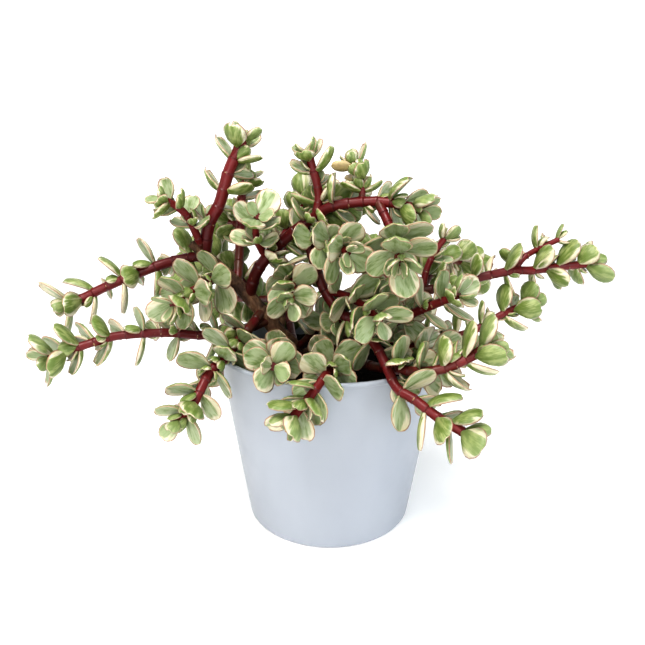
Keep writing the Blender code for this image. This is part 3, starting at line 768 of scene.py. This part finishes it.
shoots = {  # name: route, radius at the base, radius at the tip, bare length, leaf size, spacing of pairs
    "left_tall": ([(-76, 0, 54), (-73, 0, 72), (-66, 1, 85), (-60, 3, 104), (-55, 5, 114), (-52, 6, 122)],
                  4.0, 3.4, 20, 1.0, 1.1),
    "left_back": ([(-57, 3, 38), (-57, 14, 54), (-56, 20, 78), (-55, 24, 92), (-51, 26, 100)],
                  3.1, 2.5, 26, 0.85, 1.0),
    "left_small": ([(-77, -1, 58), (-82, -8, 76), (-87, -13, 84), (-95, -18, 90)],
                   2.5, 2.1, 8, 0.88, 0.8),
    "left_upper": ([(-76, 1, 54), (-91, 4, 51), (-107, -2, 47), (-133, -8, 37), (-148, -12, 30),
                    (-157, -15, 27)], 3.3, 2.8, 10, 1.0, 1.1),
    "left_lower": ([(-38, -1, 14), (-55, -14, 11), (-77, -20, 10), (-95, -25, 13), (-120, -34, 14),
                    (-132, -39, 12), (-144, -44, 9), (-156, -49, 6)], 3.0, 2.4, 24, 1.0, 1.1),
    "left_middle": ([(-64, 0, 43), (-72, -14, 41), (-80, -28, 38), (-87, -41, 34)],
                    2.8, 2.3, 7, 1.12, 0.8),
    "front_left": ([(-42, 0, 20), (-46, -12, 16), (-53, -26, 9), (-58, -38, 5), (-66, -52, -1),
                    (-70, -60, -8), (-74, -67, -15), (-80, -74, -21)], 3.2, 2.7, 22, 1.05, 0.95),
    "rim_left": ([(-20, 0, -10), (-9, -22, -2), (2, -50, 4), (-2, -66, 4), (-7, -76, 0), (-19, -87, -12)],
                 2.8, 2.4, 42, 1.05, 0.85),
    "rim_inner": ([(-26, 0, -2), (-30, -30, 2), (-31, -52, 6), (-30, -66, 8)], 2.6, 2.1, 34, 1.05, 0.75),
    "front_right": ([(-16, -10, 74), (-12, -16, 63), (-9, -20, 53), (-6, -23, 45), (-2, -27, 37), (5, -32, 29),
                     (13, -38, 24), (24, -50, 16), (30, -62, 7), (35, -72, -1), (43, -79, -4), (55, -86, -11),
                     (68, -91, -17)], 3.2, 2.6, 8, 1.05, 1.05),
    "right_lower": ([(3, 8, -3), (12, -16, -4), (24, -40, -1), (36, -60, 5), (47, -69, 7), (58, -72, 10),
                     (70, -71, 15), (80, -69, 21)], 3.3, 2.6, 78, 1.05, 0.8),
    "right_upper": ([(56, 0, 33), (70, 1, 36), (85, 2, 40), (109, 4, 45), (124, 7, 45), (140, 12, 46),
                     (163, 19, 47)], 3.0, 2.4, 12, 1.0, 1.0),
    "right_side": ([(112, 5, 45), (119, 9, 53), (129, 12, 58), (140, 14, 63)], 1.9, 1.7, 5, 0.85, 0.8),
    "right_back": ([(28, 12, 9), (50, 4, 1), (69, 0, 3), (87, -2, 8), (106, 2, 18), (124, 6, 25)],
                   2.8, 2.2, 36, 0.95, 0.95),
    "right_middle": ([(41, 8, 15), (38, -8, 16), (41, -26, 23), (50, -33, 30), (62, -41, 38), (69, -46, 43)],
                     3.1, 2.4, 20, 1.0, 0.85),
    "crown": ([(-50, 0, 29), (-44, -5, 46), (-33, -9, 60), (-20, -12, 72), (-9, -16, 80), (0, -19, 86),
               (17, -21, 89), (32, -24, 89), (49, -31, 86)], 3.8, 2.7, 34, 0.95, 1.0),
    "crown_top": ([(-9, -16, 80), (-7, -15, 90), (-8, -16, 98), (-10, -16, 105), (-13, -16, 115)],
                  2.8, 2.3, 8, 0.9, 0.9),
    "crown_small": ([(17, -21, 89), (17, -18, 98), (15, -17, 104), (12, -16, 109)], 2.0, 1.8, 6, 0.8, 0.75),
    "facing": ([(26, -23, 89), (31, -30, 79), (35, -44, 69), (35, -60, 63)], 2.8, 2.3, 14, 1.12, 0.8),
    "right_small": ([(56, 0, 33), (59, 6, 46), (64, 8, 56), (69, 9, 64)], 2.2, 1.9, 12, 0.85, 0.85),
    "centre_high": ([(-38, -7, 54), (-42, -18, 66), (-42, -24, 76), (-40, -30, 82)], 2.2, 1.9, 8, 0.95, 0.75),
    "centre_front": ([(-13, -15, 66), (-7, -26, 68), (1, -38, 68), (9, -50, 66)], 2.6, 2.1, 10, 1.05, 0.75),
    "centre_low": ([(-34, 12, 38), (-26, -4, 44), (-22, -20, 42), (-22, -38, 36)], 2.5, 2.0, 14, 1.05, 0.8),
    "centre_right": ([(-3, -26, 39), (8, -34, 39), (18, -46, 36), (26, -60, 32)], 2.3, 2.0, 9, 1.05, 0.75),
    "inner_front": ([(-22, 2, -6), (-8, -6, 10), (0, -16, 19), (5, -28, 22)], 2.4, 2.0, 14, 1.05, 0.75),
    "inner_right": ([(24, 12, 8), (24, -6, 22), (22, -22, 30), (30, -36, 38)], 2.5, 2.0, 16, 1.0, 0.8),
    "rim_right": ([(14, 11, 2), (34, -10, 4), (52, -32, 7), (63, -46, 5)], 2.5, 2.1, 34, 1.05, 0.75),
    "back_left": ([(-46, 0, 24), (-64, 26, 40), (-84, 56, 44), (-100, 82, 34), (-108, 98, 22)],
                  3.1, 2.3, 22, 0.95, 1.1),
    "back_centre": ([(-34, 12, 37), (-30, 34, 56), (-22, 60, 62), (-14, 88, 52), (-10, 104, 38)],
                    2.9, 2.3, 20, 0.95, 1.05),
    "back_right": ([(55, 1, 31), (66, 26, 42), (84, 52, 42), (100, 78, 32), (108, 92, 20)],
                   2.9, 2.3, 18, 0.95, 1.1),
    "back_rim_right": ([(20, 11, 6), (30, 38, 10), (42, 66, 8), (50, 84, -6), (54, 92, -22)],
                       2.8, 2.2, 40, 1.0, 0.95),
    "back_rim_left": ([(-22, 2, -6), (-28, 34, 4), (-34, 64, 6), (-38, 80, -4), (-42, 88, -22)],
                      2.8, 2.2, 40, 1.0, 0.95),
    "crown_behind": ([(-9, -16, 80), (0, 0, 85), (8, 16, 87), (14, 28, 85)], 2.3, 1.9, 8, 0.95, 0.8),
    "back_upright": ([(-30, -8, 63), (-24, 8, 74), (-18, 24, 84), (-14, 38, 90)], 2.5, 2.0, 12, 0.9, 0.85),
    "back_high": ([(-56, 18, 68), (-66, 36, 70), (-74, 54, 66), (-80, 68, 58)], 2.2, 1.9, 10, 0.9, 0.85),
    "back_low": ([(-33, 10, 25), (-52, 34, 18), (-70, 58, 12), (-82, 74, 2)], 2.6, 2.0, 22, 0.95, 0.95),
    "back_inner": ([(38, 9, 14), (36, 30, 34), (30, 50, 46), (28, 66, 44)], 2.5, 2.0, 16, 0.95, 0.85),
}

firstTurns = {  # degrees from upright to the first pair; the other shoots start anywhere
    "left_upper": 4, "left_lower": 94, "right_upper": 20, "front_right": 50, "front_left": 40, "rim_left": 30,
    "facing": 45, "left_tall": 60, "crown_top": 70, "crown": 10, "right_lower": 10, "left_middle": 30,
}

looseLeaves = {"facing": 8, "right_lower": 5, "left_middle": 5}  # first leaves that are nodes of their own

leafTries = [  # more turn, more lift (degrees), share of the size
    (0, 0, 1.0), (14, 0, 1.0), (-14, 0, 1.0), (0, 16, 1.0), (0, -16, 1.0), (28, 0, 0.95), (-28, 0, 0.95),
    (0, 0, 0.85), (20, 15, 0.85), (-20, 15, 0.85), (0, 28, 0.80), (20, -15, 0.80), (-20, -15, 0.80),
    (0, 0, 0.70), (30, 20, 0.70), (-30, 20, 0.70), (0, 30, 0.62), (35, 0, 0.60), (-35, 0, 0.60),
]


def seated(point):
    x, y, aboveRim = (value * mm for value in point)
    reach = math.hypot(x, y)
    if reach > 0:
        spread = (potSize["topRadius"] - plant["drawnRimRadius"]) * min(1.0, reach / plant["drawnRimRadius"])
        x *= (reach + spread) / reach
        y *= (reach + spread) / reach
    return Vector((x, y, potSize["height"] + aboveRim))


def smoothRoute(points, spans=6):
    ends = [points[0] * 2 - points[1], *points, points[-1] * 2 - points[-2]]
    route = []
    for index in range(1, len(ends) - 2):
        a, b, c, d = ends[index - 1:index + 3]
        for step in range(spans):
            t = step / spans
            route.append(0.5 * (2 * b + (c - a) * t + (2 * a - 5 * b + 4 * c - d) * t * t
                                + (3 * b - a - 3 * c + d) * t ** 3))
    route.append(points[-1].copy())
    return route


class Route:
    # a smooth line that narrows, with a frame that turns along it without twisting

    def __init__(self, points, baseRadius, tipRadius):
        self.baseRadius = baseRadius * mm
        self.tipRadius = tipRadius * mm
        self.points = smoothRoute([seated(point) for point in points])
        self.reach = [0.0]
        for before, after in zip(self.points, self.points[1:]):
            self.reach.append(self.reach[-1] + (after - before).length)
        self.length = self.reach[-1]
        self.along = []
        for index in range(len(self.points)):
            before = self.points[max(0, index - 1)]
            after = self.points[min(len(self.points) - 1, index + 1)]
            self.along.append((after - before).normalized())
        upright = Vector((0, 0, 1)) if abs(self.along[0].z) < 0.9 else Vector((0, -1, 0))
        side = (upright - self.along[0] * self.along[0].dot(upright)).normalized()
        self.side = [side]
        for before, after in zip(self.along, self.along[1:]):
            side = (before.rotation_difference(after) @ side).normalized()
            self.side.append(side)

    def at(self, distance):
        distance = min(max(distance, 0.0), self.length)
        index = 0
        while index < len(self.reach) - 2 and self.reach[index + 1] < distance:
            index += 1
        share = (distance - self.reach[index]) / (self.reach[index + 1] - self.reach[index])
        point = self.points[index].lerp(self.points[index + 1], share)
        along = self.along[index].lerp(self.along[index + 1], share).normalized()
        side = self.side[index].lerp(self.side[index + 1], share)
        side = (side - along * side.dot(along)).normalized()
        return point, along, side

    def radius(self, distance):
        return self.baseRadius + (self.tipRadius - self.baseRadius) * distance / self.length


def tube(route, sides, stations, grow=0.0, relief=None):
    vertices = []
    for number, distance in enumerate(stations):
        point, along, side = route.at(distance)
        if number == 0:
            point = point - along * grow
        if number == len(stations) - 1:
            point = point + along * grow
        radius = route.radius(distance)
        radius += grow / math.cos(math.pi / sides)
        across = along.cross(side)
        for step in range(sides):
            angle = math.tau * step / sides
            reach = radius * relief(distance, angle) if relief else radius
            vertices.append(point + (side * math.cos(angle) + across * math.sin(angle)) * reach)
    ends = [tuple(reversed(range(sides))), tuple(range(len(vertices) - sides, len(vertices)))]
    return vertices, sleeve(sides, len(stations)) + ends


def evenStations(length, spacing):
    count = max(2, round(length / spacing))
    return [length * step / count for step in range(count + 1)]


def nodeStations(length, bare, spacing):
    stations = []
    distance = bare
    while distance < length - plant["lastPairRoom"]:
        stations.append(distance)
        distance += spacing * (1.0 - plant["tipCrowding"] * (distance / length) ** 2)
    stations.append(length - plant["tipSetBack"])
    return stations


def leafPlan(length, stations, size, firstTurn, chance):
    plan = []
    turn = math.radians(chance.uniform(0, 180) if firstTurn is None else firstTurn)
    for distance in stations:
        share = distance / length
        atTip = distance == stations[-1]
        grown = plant["leafLength"] * size * (plant["tipLeafShare"] if atTip else 1.0)
        for half in (0, math.pi):
            jitter = math.radians(chance.uniform(-plant["turnSpread"], plant["turnSpread"]))
            lift = plant["liftAtBase"] + plant["liftGain"] * share ** 2
            lift += chance.uniform(-plant["liftSpread"], plant["liftSpread"])
            if atTip:
                lift += plant["tipMoreLift"]
            roll = math.radians(chance.uniform(-plant["rollSpread"], plant["rollSpread"]))
            leaf = grown * chance.uniform(*plant["sizeSpread"])
            missing = chance.random() < plant["missingShare"] * (1.0 - share)
            shedInFront = chance.random() < plant["frontShedShare"] and share < plant["keptNearTip"]
            if not missing:
                plan.append((distance, turn + half + jitter, math.radians(lift), leaf, roll, shedInFront))
        turn += math.pi / 2 + math.radians(chance.uniform(-plant["pairTurnSpread"], plant["pairTurnSpread"]))
    return plan


def plumpness(length):
    least, gain = leafBody["plump"]
    return plant["leafThickness"] * (least + gain * length / plant["leafLength"])


def plainLeaf(length):
    halfWidth = length * leafBody["width"] / 2
    cup = plant["leafCup"] * length / plant["leafLength"]
    outline = leafBody["outline"]
    points = [Vector((0, 0, 0))]
    for side, half in ((1, outline), (-1, reversed(outline))):
        points += [Vector((side * halfWidth * across, length * along, cup * across)) for along, across in half]
    count = len(points)
    for along, up in (leafBody["top"], leafBody["bottom"]):
        points.append(Vector((0, length * along, plumpness(length) * up)))
    faces = []
    for step in range(count):
        after = (step + 1) % count
        faces += [(step, after, count), (after, step, count + 1)]
    return points, faces


def leafFrame(along, outward, turn, lift):
    outward = Matrix.Rotation(turn, 3, along) @ outward
    direction = (outward * math.cos(lift) + along * math.sin(lift)).normalized()
    upper = (along * math.cos(lift) - outward * math.sin(lift)).normalized()
    across = direction.cross(upper)
    return Matrix((across, direction, upper)).transposed(), outward


def inOpenAir(point):
    radius = math.hypot(point.x, point.y)
    gap = plant["leafGap"]
    if point.z > potSize["height"] + gap:
        return True
    if radius < soilRadius(min(point.z, potSize["height"])) - gap:
        return point.z > soilTop(radius) + gap
    return radius > potSize["topRadius"] + gap


def boundsOf(vertices):
    centre = sum(vertices, Vector()) / len(vertices)
    return centre, max((vertex - centre).length for vertex in vertices)


class Neighbours:
    # what has been placed so far

    def __init__(self):
        self.placed = []

    def add(self, owner, vertices, faces):
        self.placed.append((owner, *boundsOf(vertices), BVHTree.FromPolygons(vertices, faces)))

    def leaveRoom(self, shoot, loose, vertices, ownVertices, faces):
        if not all(inOpenAir(vertex) for vertex in vertices):
            return False
        centre, radius = boundsOf(vertices)
        whole = BVHTree.FromPolygons(vertices, faces)
        blade = BVHTree.FromPolygons(ownVertices, faces)
        for other, otherCentre, otherRadius, tree in self.placed:
            if other == shoot + " stem":
                continue
            if (centre - otherCentre).length < radius + otherRadius:
                if (blade if other == shoot and not loose else whole).overlap(tree):
                    return False
        return True


def standLeaf(route, distance, turn, lift, length, roll, sunk):
    # where a leaf stands on its stem, and its vertices there at three sizes
    point, along, side = route.at(distance)
    standing, outward = leafFrame(along, side, turn, lift)
    base = point + outward * (route.radius(distance) - sunk)
    shape, faces = plainLeaf(length)
    spun = Matrix.Rotation(roll, 3, "Y")
    middle = (shape[-1] + shape[-2]) / 2
    sets = []
    for factor in (1.0, plant["roomy"], plant["blade"]):
        sets.append([base + standing @ (spun @ middle.lerp(vertex, factor)) for vertex in shape])
    return (base, standing @ spun, length, outward), sets, faces


class Leaf:
    # a leaf that has found its place: stand is its base, turn in space, length and outward direction

    def __init__(self, stand, distance, turn, loose=False, bud=False):
        self.stand = stand
        self.distance = distance
        self.turn = turn
        self.loose = loose
        self.bud = bud


scars = []  # where a leaf was shed: point, outward, along, stem radius


def placeLeaves(name, route, plan, neighbours):
    placed = []
    looseLeft = looseLeaves.get(name, 0)
    for distance, turn, lift, length, roll, shedInFront in plan:
        point, along, side = route.at(distance)
        outward = Matrix.Rotation(turn, 3, along) @ side
        if shedInFront and outward.y < -plant["frontFrom"]:
            scars.append((point, outward, along, route.radius(distance)))
            continue
        loose = sum(leaf.loose for leaf in placed) < looseLeft
        sunk = -plant["looseGap"] if loose else plant["leafBaseSunk"]
        for moreTurn, moreLift, shrink in leafTries:
            stand, (inside, roomy, blade), faces = standLeaf(
                route, distance, turn + math.radians(moreTurn), lift + math.radians(moreLift),
                length * shrink, roll, sunk)
            if neighbours.leaveRoom(name, loose, roomy, blade, faces):
                neighbours.add(f"{name} loose {len(placed)}" if loose else name, inside, faces)
                placed.append(Leaf(stand, distance, turn, loose=loose))
                break
    return placed


budHabit = {
    "share": 0.62,
    "turn": (24, 46),
    "lift": (44, 66),
    "size": (0.40, 0.66),
    "roll": 0.5,
    "above": 0.0012,  # further up the stem than the leaf
    "tries": (1.0, 0.85, 0.7),
    "seed": 29,
}


def placeBuds(name, route, leaves, neighbours, chance):
    # small leaves that open in the corner between a leaf and the stem
    placed = []
    for leaf in leaves:
        if chance.random() > budHabit["share"]:
            continue
        for side in (-1, 1):
            turn = leaf.turn + side * math.radians(chance.uniform(*budHabit["turn"]))
            lift = math.radians(chance.uniform(*budHabit["lift"]))
            length = plant["leafLength"] * chance.uniform(*budHabit["size"])
            roll = chance.uniform(-budHabit["roll"], budHabit["roll"])
            distance = min(route.length, leaf.distance + budHabit["above"])
            for shrink in budHabit["tries"]:
                stand, (inside, _, blade), faces = standLeaf(
                    route, distance, turn, lift, length * shrink, roll, plant["leafBaseSunk"])
                if neighbours.leaveRoom(name, False, inside, blade, faces):
                    neighbours.add(name, inside, faces)
                    placed.append(Leaf(stand, distance, turn, bud=True))
                    break
    return placed


def growPlant():
    neighbours = Neighbours()
    potNode = frame["nodes"]["pot"].data
    neighbours.add("pot", [vertex.co for vertex in potNode.vertices],
                   [tuple(face.vertices) for face in potNode.polygons])
    for limb in trunkLimbs:
        route = Route(*limb)
        stations = evenStations(route.length, plant["trunkRingStep"])
        neighbours.add("trunk", *tube(route, plant["trunkSides"], stations, plant["leafGap"]))
    stems = {}
    for name, (points, baseRadius, tipRadius, bare, size, crowding) in shoots.items():
        route = Route(points, baseRadius, tipRadius)
        nodes = nodeStations(route.length, bare * mm, plant["nodeSpacing"] * crowding)
        stations = [*evenStations(bare * mm, plant["stemRingStep"])[:-1], *nodes[:-1], route.length]
        stems[name] = {"route": route, "bare": bare * mm, "size": size, "nodes": nodes}
        neighbours.add(name + " stem", *tube(route, plant["stemSides"], stations, plant["leafGap"]))
    leaves = {}
    for number, (name, stem) in enumerate(stems.items()):
        chance = random.Random(plant["seed"] * 1000 + number)
        plan = leafPlan(stem["route"].length, stem["nodes"], stem["size"], firstTurns.get(name), chance)
        leaves[name] = placeLeaves(name, stem["route"], plan, neighbours)
    for number, (name, stem) in enumerate(stems.items()):
        chance = random.Random(budHabit["seed"] * 1000 + number)
        leaves[name] += placeBuds(name, stem["route"], leaves[name], neighbours, chance)
    return stems, leaves


stems, leaves = growPlant()
print("plant is grown,", sum(len(placed) for placed in leaves.values()), "leaves")

# the trunk: ridged limbs melted into one

trunkSize = {
    "sides": 30,
    "ringStep": 0.0012,
    "voxel": 0.00055,
    "twist": 22.0,  # radians in a metre
    "ridge": 0.10,  # share of the radius
    "wrinkle": 0.05,
}


def barkRelief(distance, angle):
    twist = angle + distance * trunkSize["twist"]
    lines = noise.noise(Vector((math.cos(twist) * 2.2, math.sin(twist) * 2.2, distance * 55.0)))
    fine = noise.noise(Vector((math.cos(twist) * 6.0, math.sin(twist) * 6.0, distance * 190.0)))
    return 1 + trunkSize["ridge"] * lines + trunkSize["wrinkle"] * fine


def makeTrunk():
    vertices, faces = [], []
    for limb in trunkLimbs:
        route = Route(*limb)
        stations = evenStations(route.length, trunkSize["ringStep"])
        limbVertices, limbFaces = tube(route, trunkSize["sides"], stations, relief=barkRelief)
        faces += [tuple(len(vertices) + index for index in face) for face in limbFaces]
        vertices += limbVertices
    trunk = newPiece("woody_trunk", vertices, faces)
    melt = trunk.modifiers.new("melt", "REMESH")
    melt.mode = "VOXEL"
    melt.voxel_size = trunkSize["voxel"]
    mesh = bpy.data.meshes.new_from_object(trunk.evaluated_get(bpy.context.evaluated_depsgraph_get()))
    trunk.modifiers.clear()
    trunk.data = mesh
    mesh.shade_smooth()
    mesh.materials.clear()
    mesh.materials.append(finishes["bark"])
    return trunk


trunk = makeTrunk()
settle(trunk, "bark_brown", "trunk")
print("trunk is melted,", len(trunk.data.polygons), "faces")

# the stems: short telescoping lengths, each a little wider at its top ring

stemSize = {
    "sides": 14,
    "girth": 1.0,
    "segment": [(0.0, 0.95, 0.7), (0.10, 0.94, 0.1), (0.45, 0.95, 0.0), (0.80, 0.98, 0.0), (0.94, 1.05, 0.1),
                (1.0, 1.03, 0.9)],  # place in a length, radius share, ring shade
    "ringGap": 0.00018,
    "bareStep": 0.0125,
    "ageLength": 0.17,
    "woody": {  # how far up the bark reaches, in metres
        "right_lower": 0.095, "rim_left": 0.03, "front_left": 0.03, "inner_front": 0.02, "rim_inner": 0.025,
        "rim_right": 0.03, "left_lower": 0.02, "left_back": 0.02, "centre_low": 0.012,
    },
    "woodyElsewhere": 0.004,
}


def stemTree():
    tree = Tree("stemLengths", {
        "Round_Sides": ("Int", stemSize["sides"]),
        "Girth": ("Float", stemSize["girth"]),
    })
    line = tree.node("GeometryNodeMeshToCurve", {"Mesh": tree.start["Geometry"]})["Curve"]
    ring = tree.node("GeometryNodeCurvePrimitiveCircle", {
        "Radius": 1.0, "Resolution": tree.start["Round_Sides"],
    })["Curve"]
    girth = {0: tree.named("stemGirth"), 1: tree.start["Girth"]}
    size = tree.node("ShaderNodeMath", girth, operation="MULTIPLY")[0]
    tree.finish(tree.node("GeometryNodeCurveToMesh", {
        "Curve": line, "Profile Curve": ring, "Scale": size, "Fill Caps": True,
    })["Mesh"])
    return tree


def stemLine(name, stem):
    # points along a stem with the girth, age and ring shade at each
    route = stem["route"]
    joints = [*evenStations(stem["bare"], stemSize["bareStep"])[:-1], *stem["nodes"][:-1], route.length]
    barked = stemSize["woody"].get(name, stemSize["woodyElsewhere"])
    points = []
    layers = {"stemGirth": [], "stemAge": [], "stemRing": [], "stemWood": []}
    for start, end in zip(joints, joints[1:]):
        for share, girth, ring in stemSize["segment"]:
            distance = start + (end - start) * share
            if share == 0.0 and start > 0:
                distance += stemSize["ringGap"]
            points.append(route.at(distance)[0])
            age = (route.length - distance) / stemSize["ageLength"]
            values = (route.radius(distance) * girth, min(1.0, max(0.0, age)), ring,
                      min(1.0, max(0.0, 1.5 - distance / barked)))
            for layer, value in zip(layers.values(), values):
                layer.append(value)
    edges = [(index, index + 1) for index in range(len(points) - 1)]
    return pointCloud(name + "_line", points, {key: ("FLOAT", values) for key, values in layers.items()}, edges)


stemMaker = stemTree()
for name, stem in stems.items():
    piece = stemMaker.grow(stemLine(name, stem), name + "_stem", Finish=finishes["stem"])
    settle(piece, "shoot", name)
print("stems are drawn,", len(stems))

# the scars that shed leaves left

scarSize = {
    "width": 0.0010,
    "height": 0.00042,
    "proud": 0.00022,
    "kept": 0.55,  # share of the scars that still show
    "spread": (0.60, 1.15),
    "roundness": 2,
    "seed": 61,
}
scarLook = {
    "dark": (0.10, 0.035, 0.02),
    "tan": (0.27, 0.15, 0.08),
    "pale": (0.48, 0.34, 0.21),
}


def scarFinish():
    look = Finish("paleScar", {"Roughness": 0.7})
    tone = look.noise(look.place(), 1400.0, 3.0)
    look.colour(look.ramp(tone, list(zip((0.3, 0.5, 0.75), scarLook.values()))))
    look.bump(tone, 0.5, 0.0003)
    return look.material


def scarTree():
    tree = Tree("leafScars", {"Roundness": ("Int", scarSize["roundness"])})
    bead = tree.node("GeometryNodeMeshIcoSphere", {
        "Radius": 1.0, "Subdivisions": tree.start["Roundness"],
    })["Mesh"]
    tree.finish(tree.node("GeometryNodeInstanceOnPoints", {
        "Points": tree.start["Geometry"], "Instance": bead, "Rotation": tree.turn("scarTurn"),
        "Scale": tree.named("scarScale", "FLOAT_VECTOR"),
    })["Instances"])
    return tree


def scarPoints():
    chance = random.Random(scarSize["seed"])
    points, turns, scales = [], [], []
    for point, outward, along, radius in scars:
        if chance.random() > scarSize["kept"]:
            continue
        across = along.cross(outward)
        points.append(point + outward * radius * 1.01)
        turns.append(tuple(Matrix((across, along, outward)).transposed().to_euler()))
        size = chance.uniform(*scarSize["spread"])
        scales.append((scarSize["width"] * size, scarSize["height"] * size, scarSize["proud"]))
    return pointCloud("scar_points", points, {
        "scarTurn": ("FLOAT_VECTOR", turns), "scarScale": ("FLOAT_VECTOR", scales),
    })


settle(scarTree().grow(scarPoints(), "leaf_scars", Finish=scarFinish()), "shoot")
print("scars are on,", len(scars))

# the leaves: a few forms, put on points

leafForm = {
    "outline": [(0.0, 0.13), (0.10, 0.27), (0.24, 0.58), (0.41, 0.88), (0.60, 1.0), (0.77, 0.92), (0.90, 0.67),
                (0.975, 0.35), (1.0, 0.0)],  # along, half width
    "section": [(-1.0, 0), (-0.80, 1), (0.0, 1), (0.80, 1), (1.0, 0), (0.72, -1), (0.0, -1), (-0.72, -1)],
    "halfWidth": 0.43,  # share of the length
    "thickness": 0.150,
    "cups": [0.075, 0.11, 0.045, 0.085],
    "bends": [0.04, 0.10, -0.02, -0.07],
    "folds": [0.02, 0.05, 0.0, 0.035],
}


def leafMesh(name, cup, bend, fold):
    vertices, places, margins = [], [], []
    outline, section = leafForm["outline"], leafForm["section"]

    def heights(along, across):
        bulk = math.sin(math.pi * min(1.0, 0.12 + 0.86 * along)) ** 0.6
        spine = bend * along * along
        upper = spine + cup * across * across * (0.25 + 0.75 * along) - fold * (1 - abs(across)) * bulk
        return upper, leafForm["thickness"] * bulk

    def addPoint(along, wide, across, side):
        upper, thick = heights(along, across)
        curve = math.sqrt(max(0.0, 1 - across * across))
        lowered = {1: -0.10 * curve, 0: 0.16, -1: 0.30 + 0.70 * curve}[side]
        vertices.append(Vector((leafForm["halfWidth"] * wide * across, along, upper - thick * lowered)))
        nearTip = max(0.0, (along - 0.45) / 0.55) ** 4
        outer = 1 - (1 - abs(across)) * (1 - nearTip)
        margins.append(outer if side >= 0 else (abs(across) ** 1.5) * 0.9 + 0.1 * nearTip)
        places.append((across * wide, along, (1 + side) / 2))

    for along, wide in outline[:-1]:
        for across, side in section:
            addPoint(along, wide, across, side)
    tipUpper, tipThick = heights(1.0, 0)
    vertices.append(Vector((0, 1.0, tipUpper - 0.3 * tipThick)))
    places.append((0.0, 1.0, 0.5))
    margins.append(1.0)
    count, tip = len(section), len(vertices) - 1
    faces = [tuple(reversed(range(count))), *sleeve(count, len(outline) - 1)]
    faces += [(tip - count + step, tip - count + (step + 1) % count, tip) for step in range(count)]
    piece = newPiece(name, vertices, faces)
    setLayers(piece.data, {"leafPlace": ("FLOAT_VECTOR", places), "leafMargin": ("FLOAT", margins)})
    return piece


def makeLeafForms():
    forms = bpy.data.collections.new("leafForms")
    for number, (cup, bend, fold) in enumerate(zip(leafForm["cups"], leafForm["bends"], leafForm["folds"])):
        piece = leafMesh(f"leafForm{number}", cup, bend, fold)
        bpy.context.scene.collection.objects.unlink(piece)
        forms.objects.link(piece)
    return forms


def leafTree():
    tree = Tree("leavesOnStems", {"Leaf_Forms": ("Collection", None), "Leaf_Size": ("Float", 1.0)})
    forms = tree.node("GeometryNodeCollectionInfo", {
        "Collection": tree.start["Leaf_Forms"], "Separate Children": True, "Reset Children": True,
    })["Instances"]
    scale = tree.named("leafScale", "FLOAT_VECTOR")
    size = tree.node("ShaderNodeVectorMath", {0: scale, "Scale": tree.start["Leaf_Size"]}, operation="SCALE")[0]
    tree.finish(tree.node("GeometryNodeInstanceOnPoints", {
        "Points": tree.start["Geometry"], "Instance": forms, "Pick Instance": True,
        "Instance Index": tree.named("leafKind", "INT"), "Rotation": tree.turn("leafTurn"), "Scale": size,
    })["Instances"])
    return tree


leafMix = {
    "seed": 47,
    "stretch": (0.95, 1.08),
    "widen": (0.92, 1.06),
    "thicken": (0.85, 1.12),
    "youngFrom": 0.93,  # share of the stem where the leaves turn fresh green
    "youngBud": 0.25,
    "looseSink": 0.0016,
    "drawnThickness": 0.16,  # thickness of a leaf form, as a share of its length
    "dry": {"crown_small": (3, 5, 8)},  # leaves that are yellowing
    "dryness": 0.95,
}


def leafPoints(label, shoot, length, placed, chance):
    points = []
    kinds = {"leafTurn": "FLOAT_VECTOR", "leafScale": "FLOAT_VECTOR", "leafKind": "INT", "leafTint": "FLOAT",
             "leafCream": "FLOAT", "leafYoung": "FLOAT", "leafDry": "FLOAT", "leafBlush": "FLOAT"}
    layers = {key: (kind, []) for key, kind in kinds.items()}
    for leaf in placed:
        base, turn, size, outward = leaf.stand
        if leaf.loose:
            base = base - outward * leafMix["looseSink"]
        points.append(base)
        plump = plumpness(size) / (leafMix["drawnThickness"] * size)
        scale = (size * chance.uniform(*leafMix["widen"]), size * chance.uniform(*leafMix["stretch"]),
                 size * plump * chance.uniform(*leafMix["thicken"]))
        kind, tint, cream = chance.randrange(len(leafForm["cups"])), chance.random(), chance.random()
        young = max(0.0, (leaf.distance / length - leafMix["youngFrom"]) / (1 - leafMix["youngFrom"]))
        young = min(1.0, young + (leafMix["youngBud"] if leaf.bud else 0.0))
        dry = leafMix["dryness"] if len(points) in leafMix["dry"].get(shoot, ()) else 0.0
        values = (tuple(turn.to_euler()), scale, kind, tint, cream, young, dry, chance.random() ** 2)
        for (_, layer), value in zip(layers.values(), values):
            layer.append(value)
    return pointCloud(label, points, layers)


leafForms = makeLeafForms()
leafMaker = leafTree()
for number, (name, stem) in enumerate(stems.items()):
    chance = random.Random(leafMix["seed"] * 1000 + number)
    length = stem["route"].length
    joined = [leaf for leaf in leaves[name] if not leaf.loose]
    loose = [leaf for leaf in leaves[name] if leaf.loose]
    cloud = leafPoints(name + "_points", name, length, joined, chance)
    piece = leafMaker.grow(cloud, name + "_leaves", Leaf_Forms=leafForms, Finish=finishes["leaf"])
    settle(piece, "leaf_variegated")
    for count, leaf in enumerate(loose, 1):
        cloud = leafPoints(f"{name}_point_{count}", None, length, [leaf], chance)
        piece = leafMaker.grow(cloud, f"{name}_round_leaf_{count}", Leaf_Forms=leafForms,
                               Finish=finishes["leaf"])
        settle(piece, "leaf_variegated", f"{name}_leaf_{count}")
for form in list(leafForms.objects):
    bpy.data.objects.remove(form, do_unlink=True)
bpy.data.collections.remove(leafForms)
print("leaves are on")
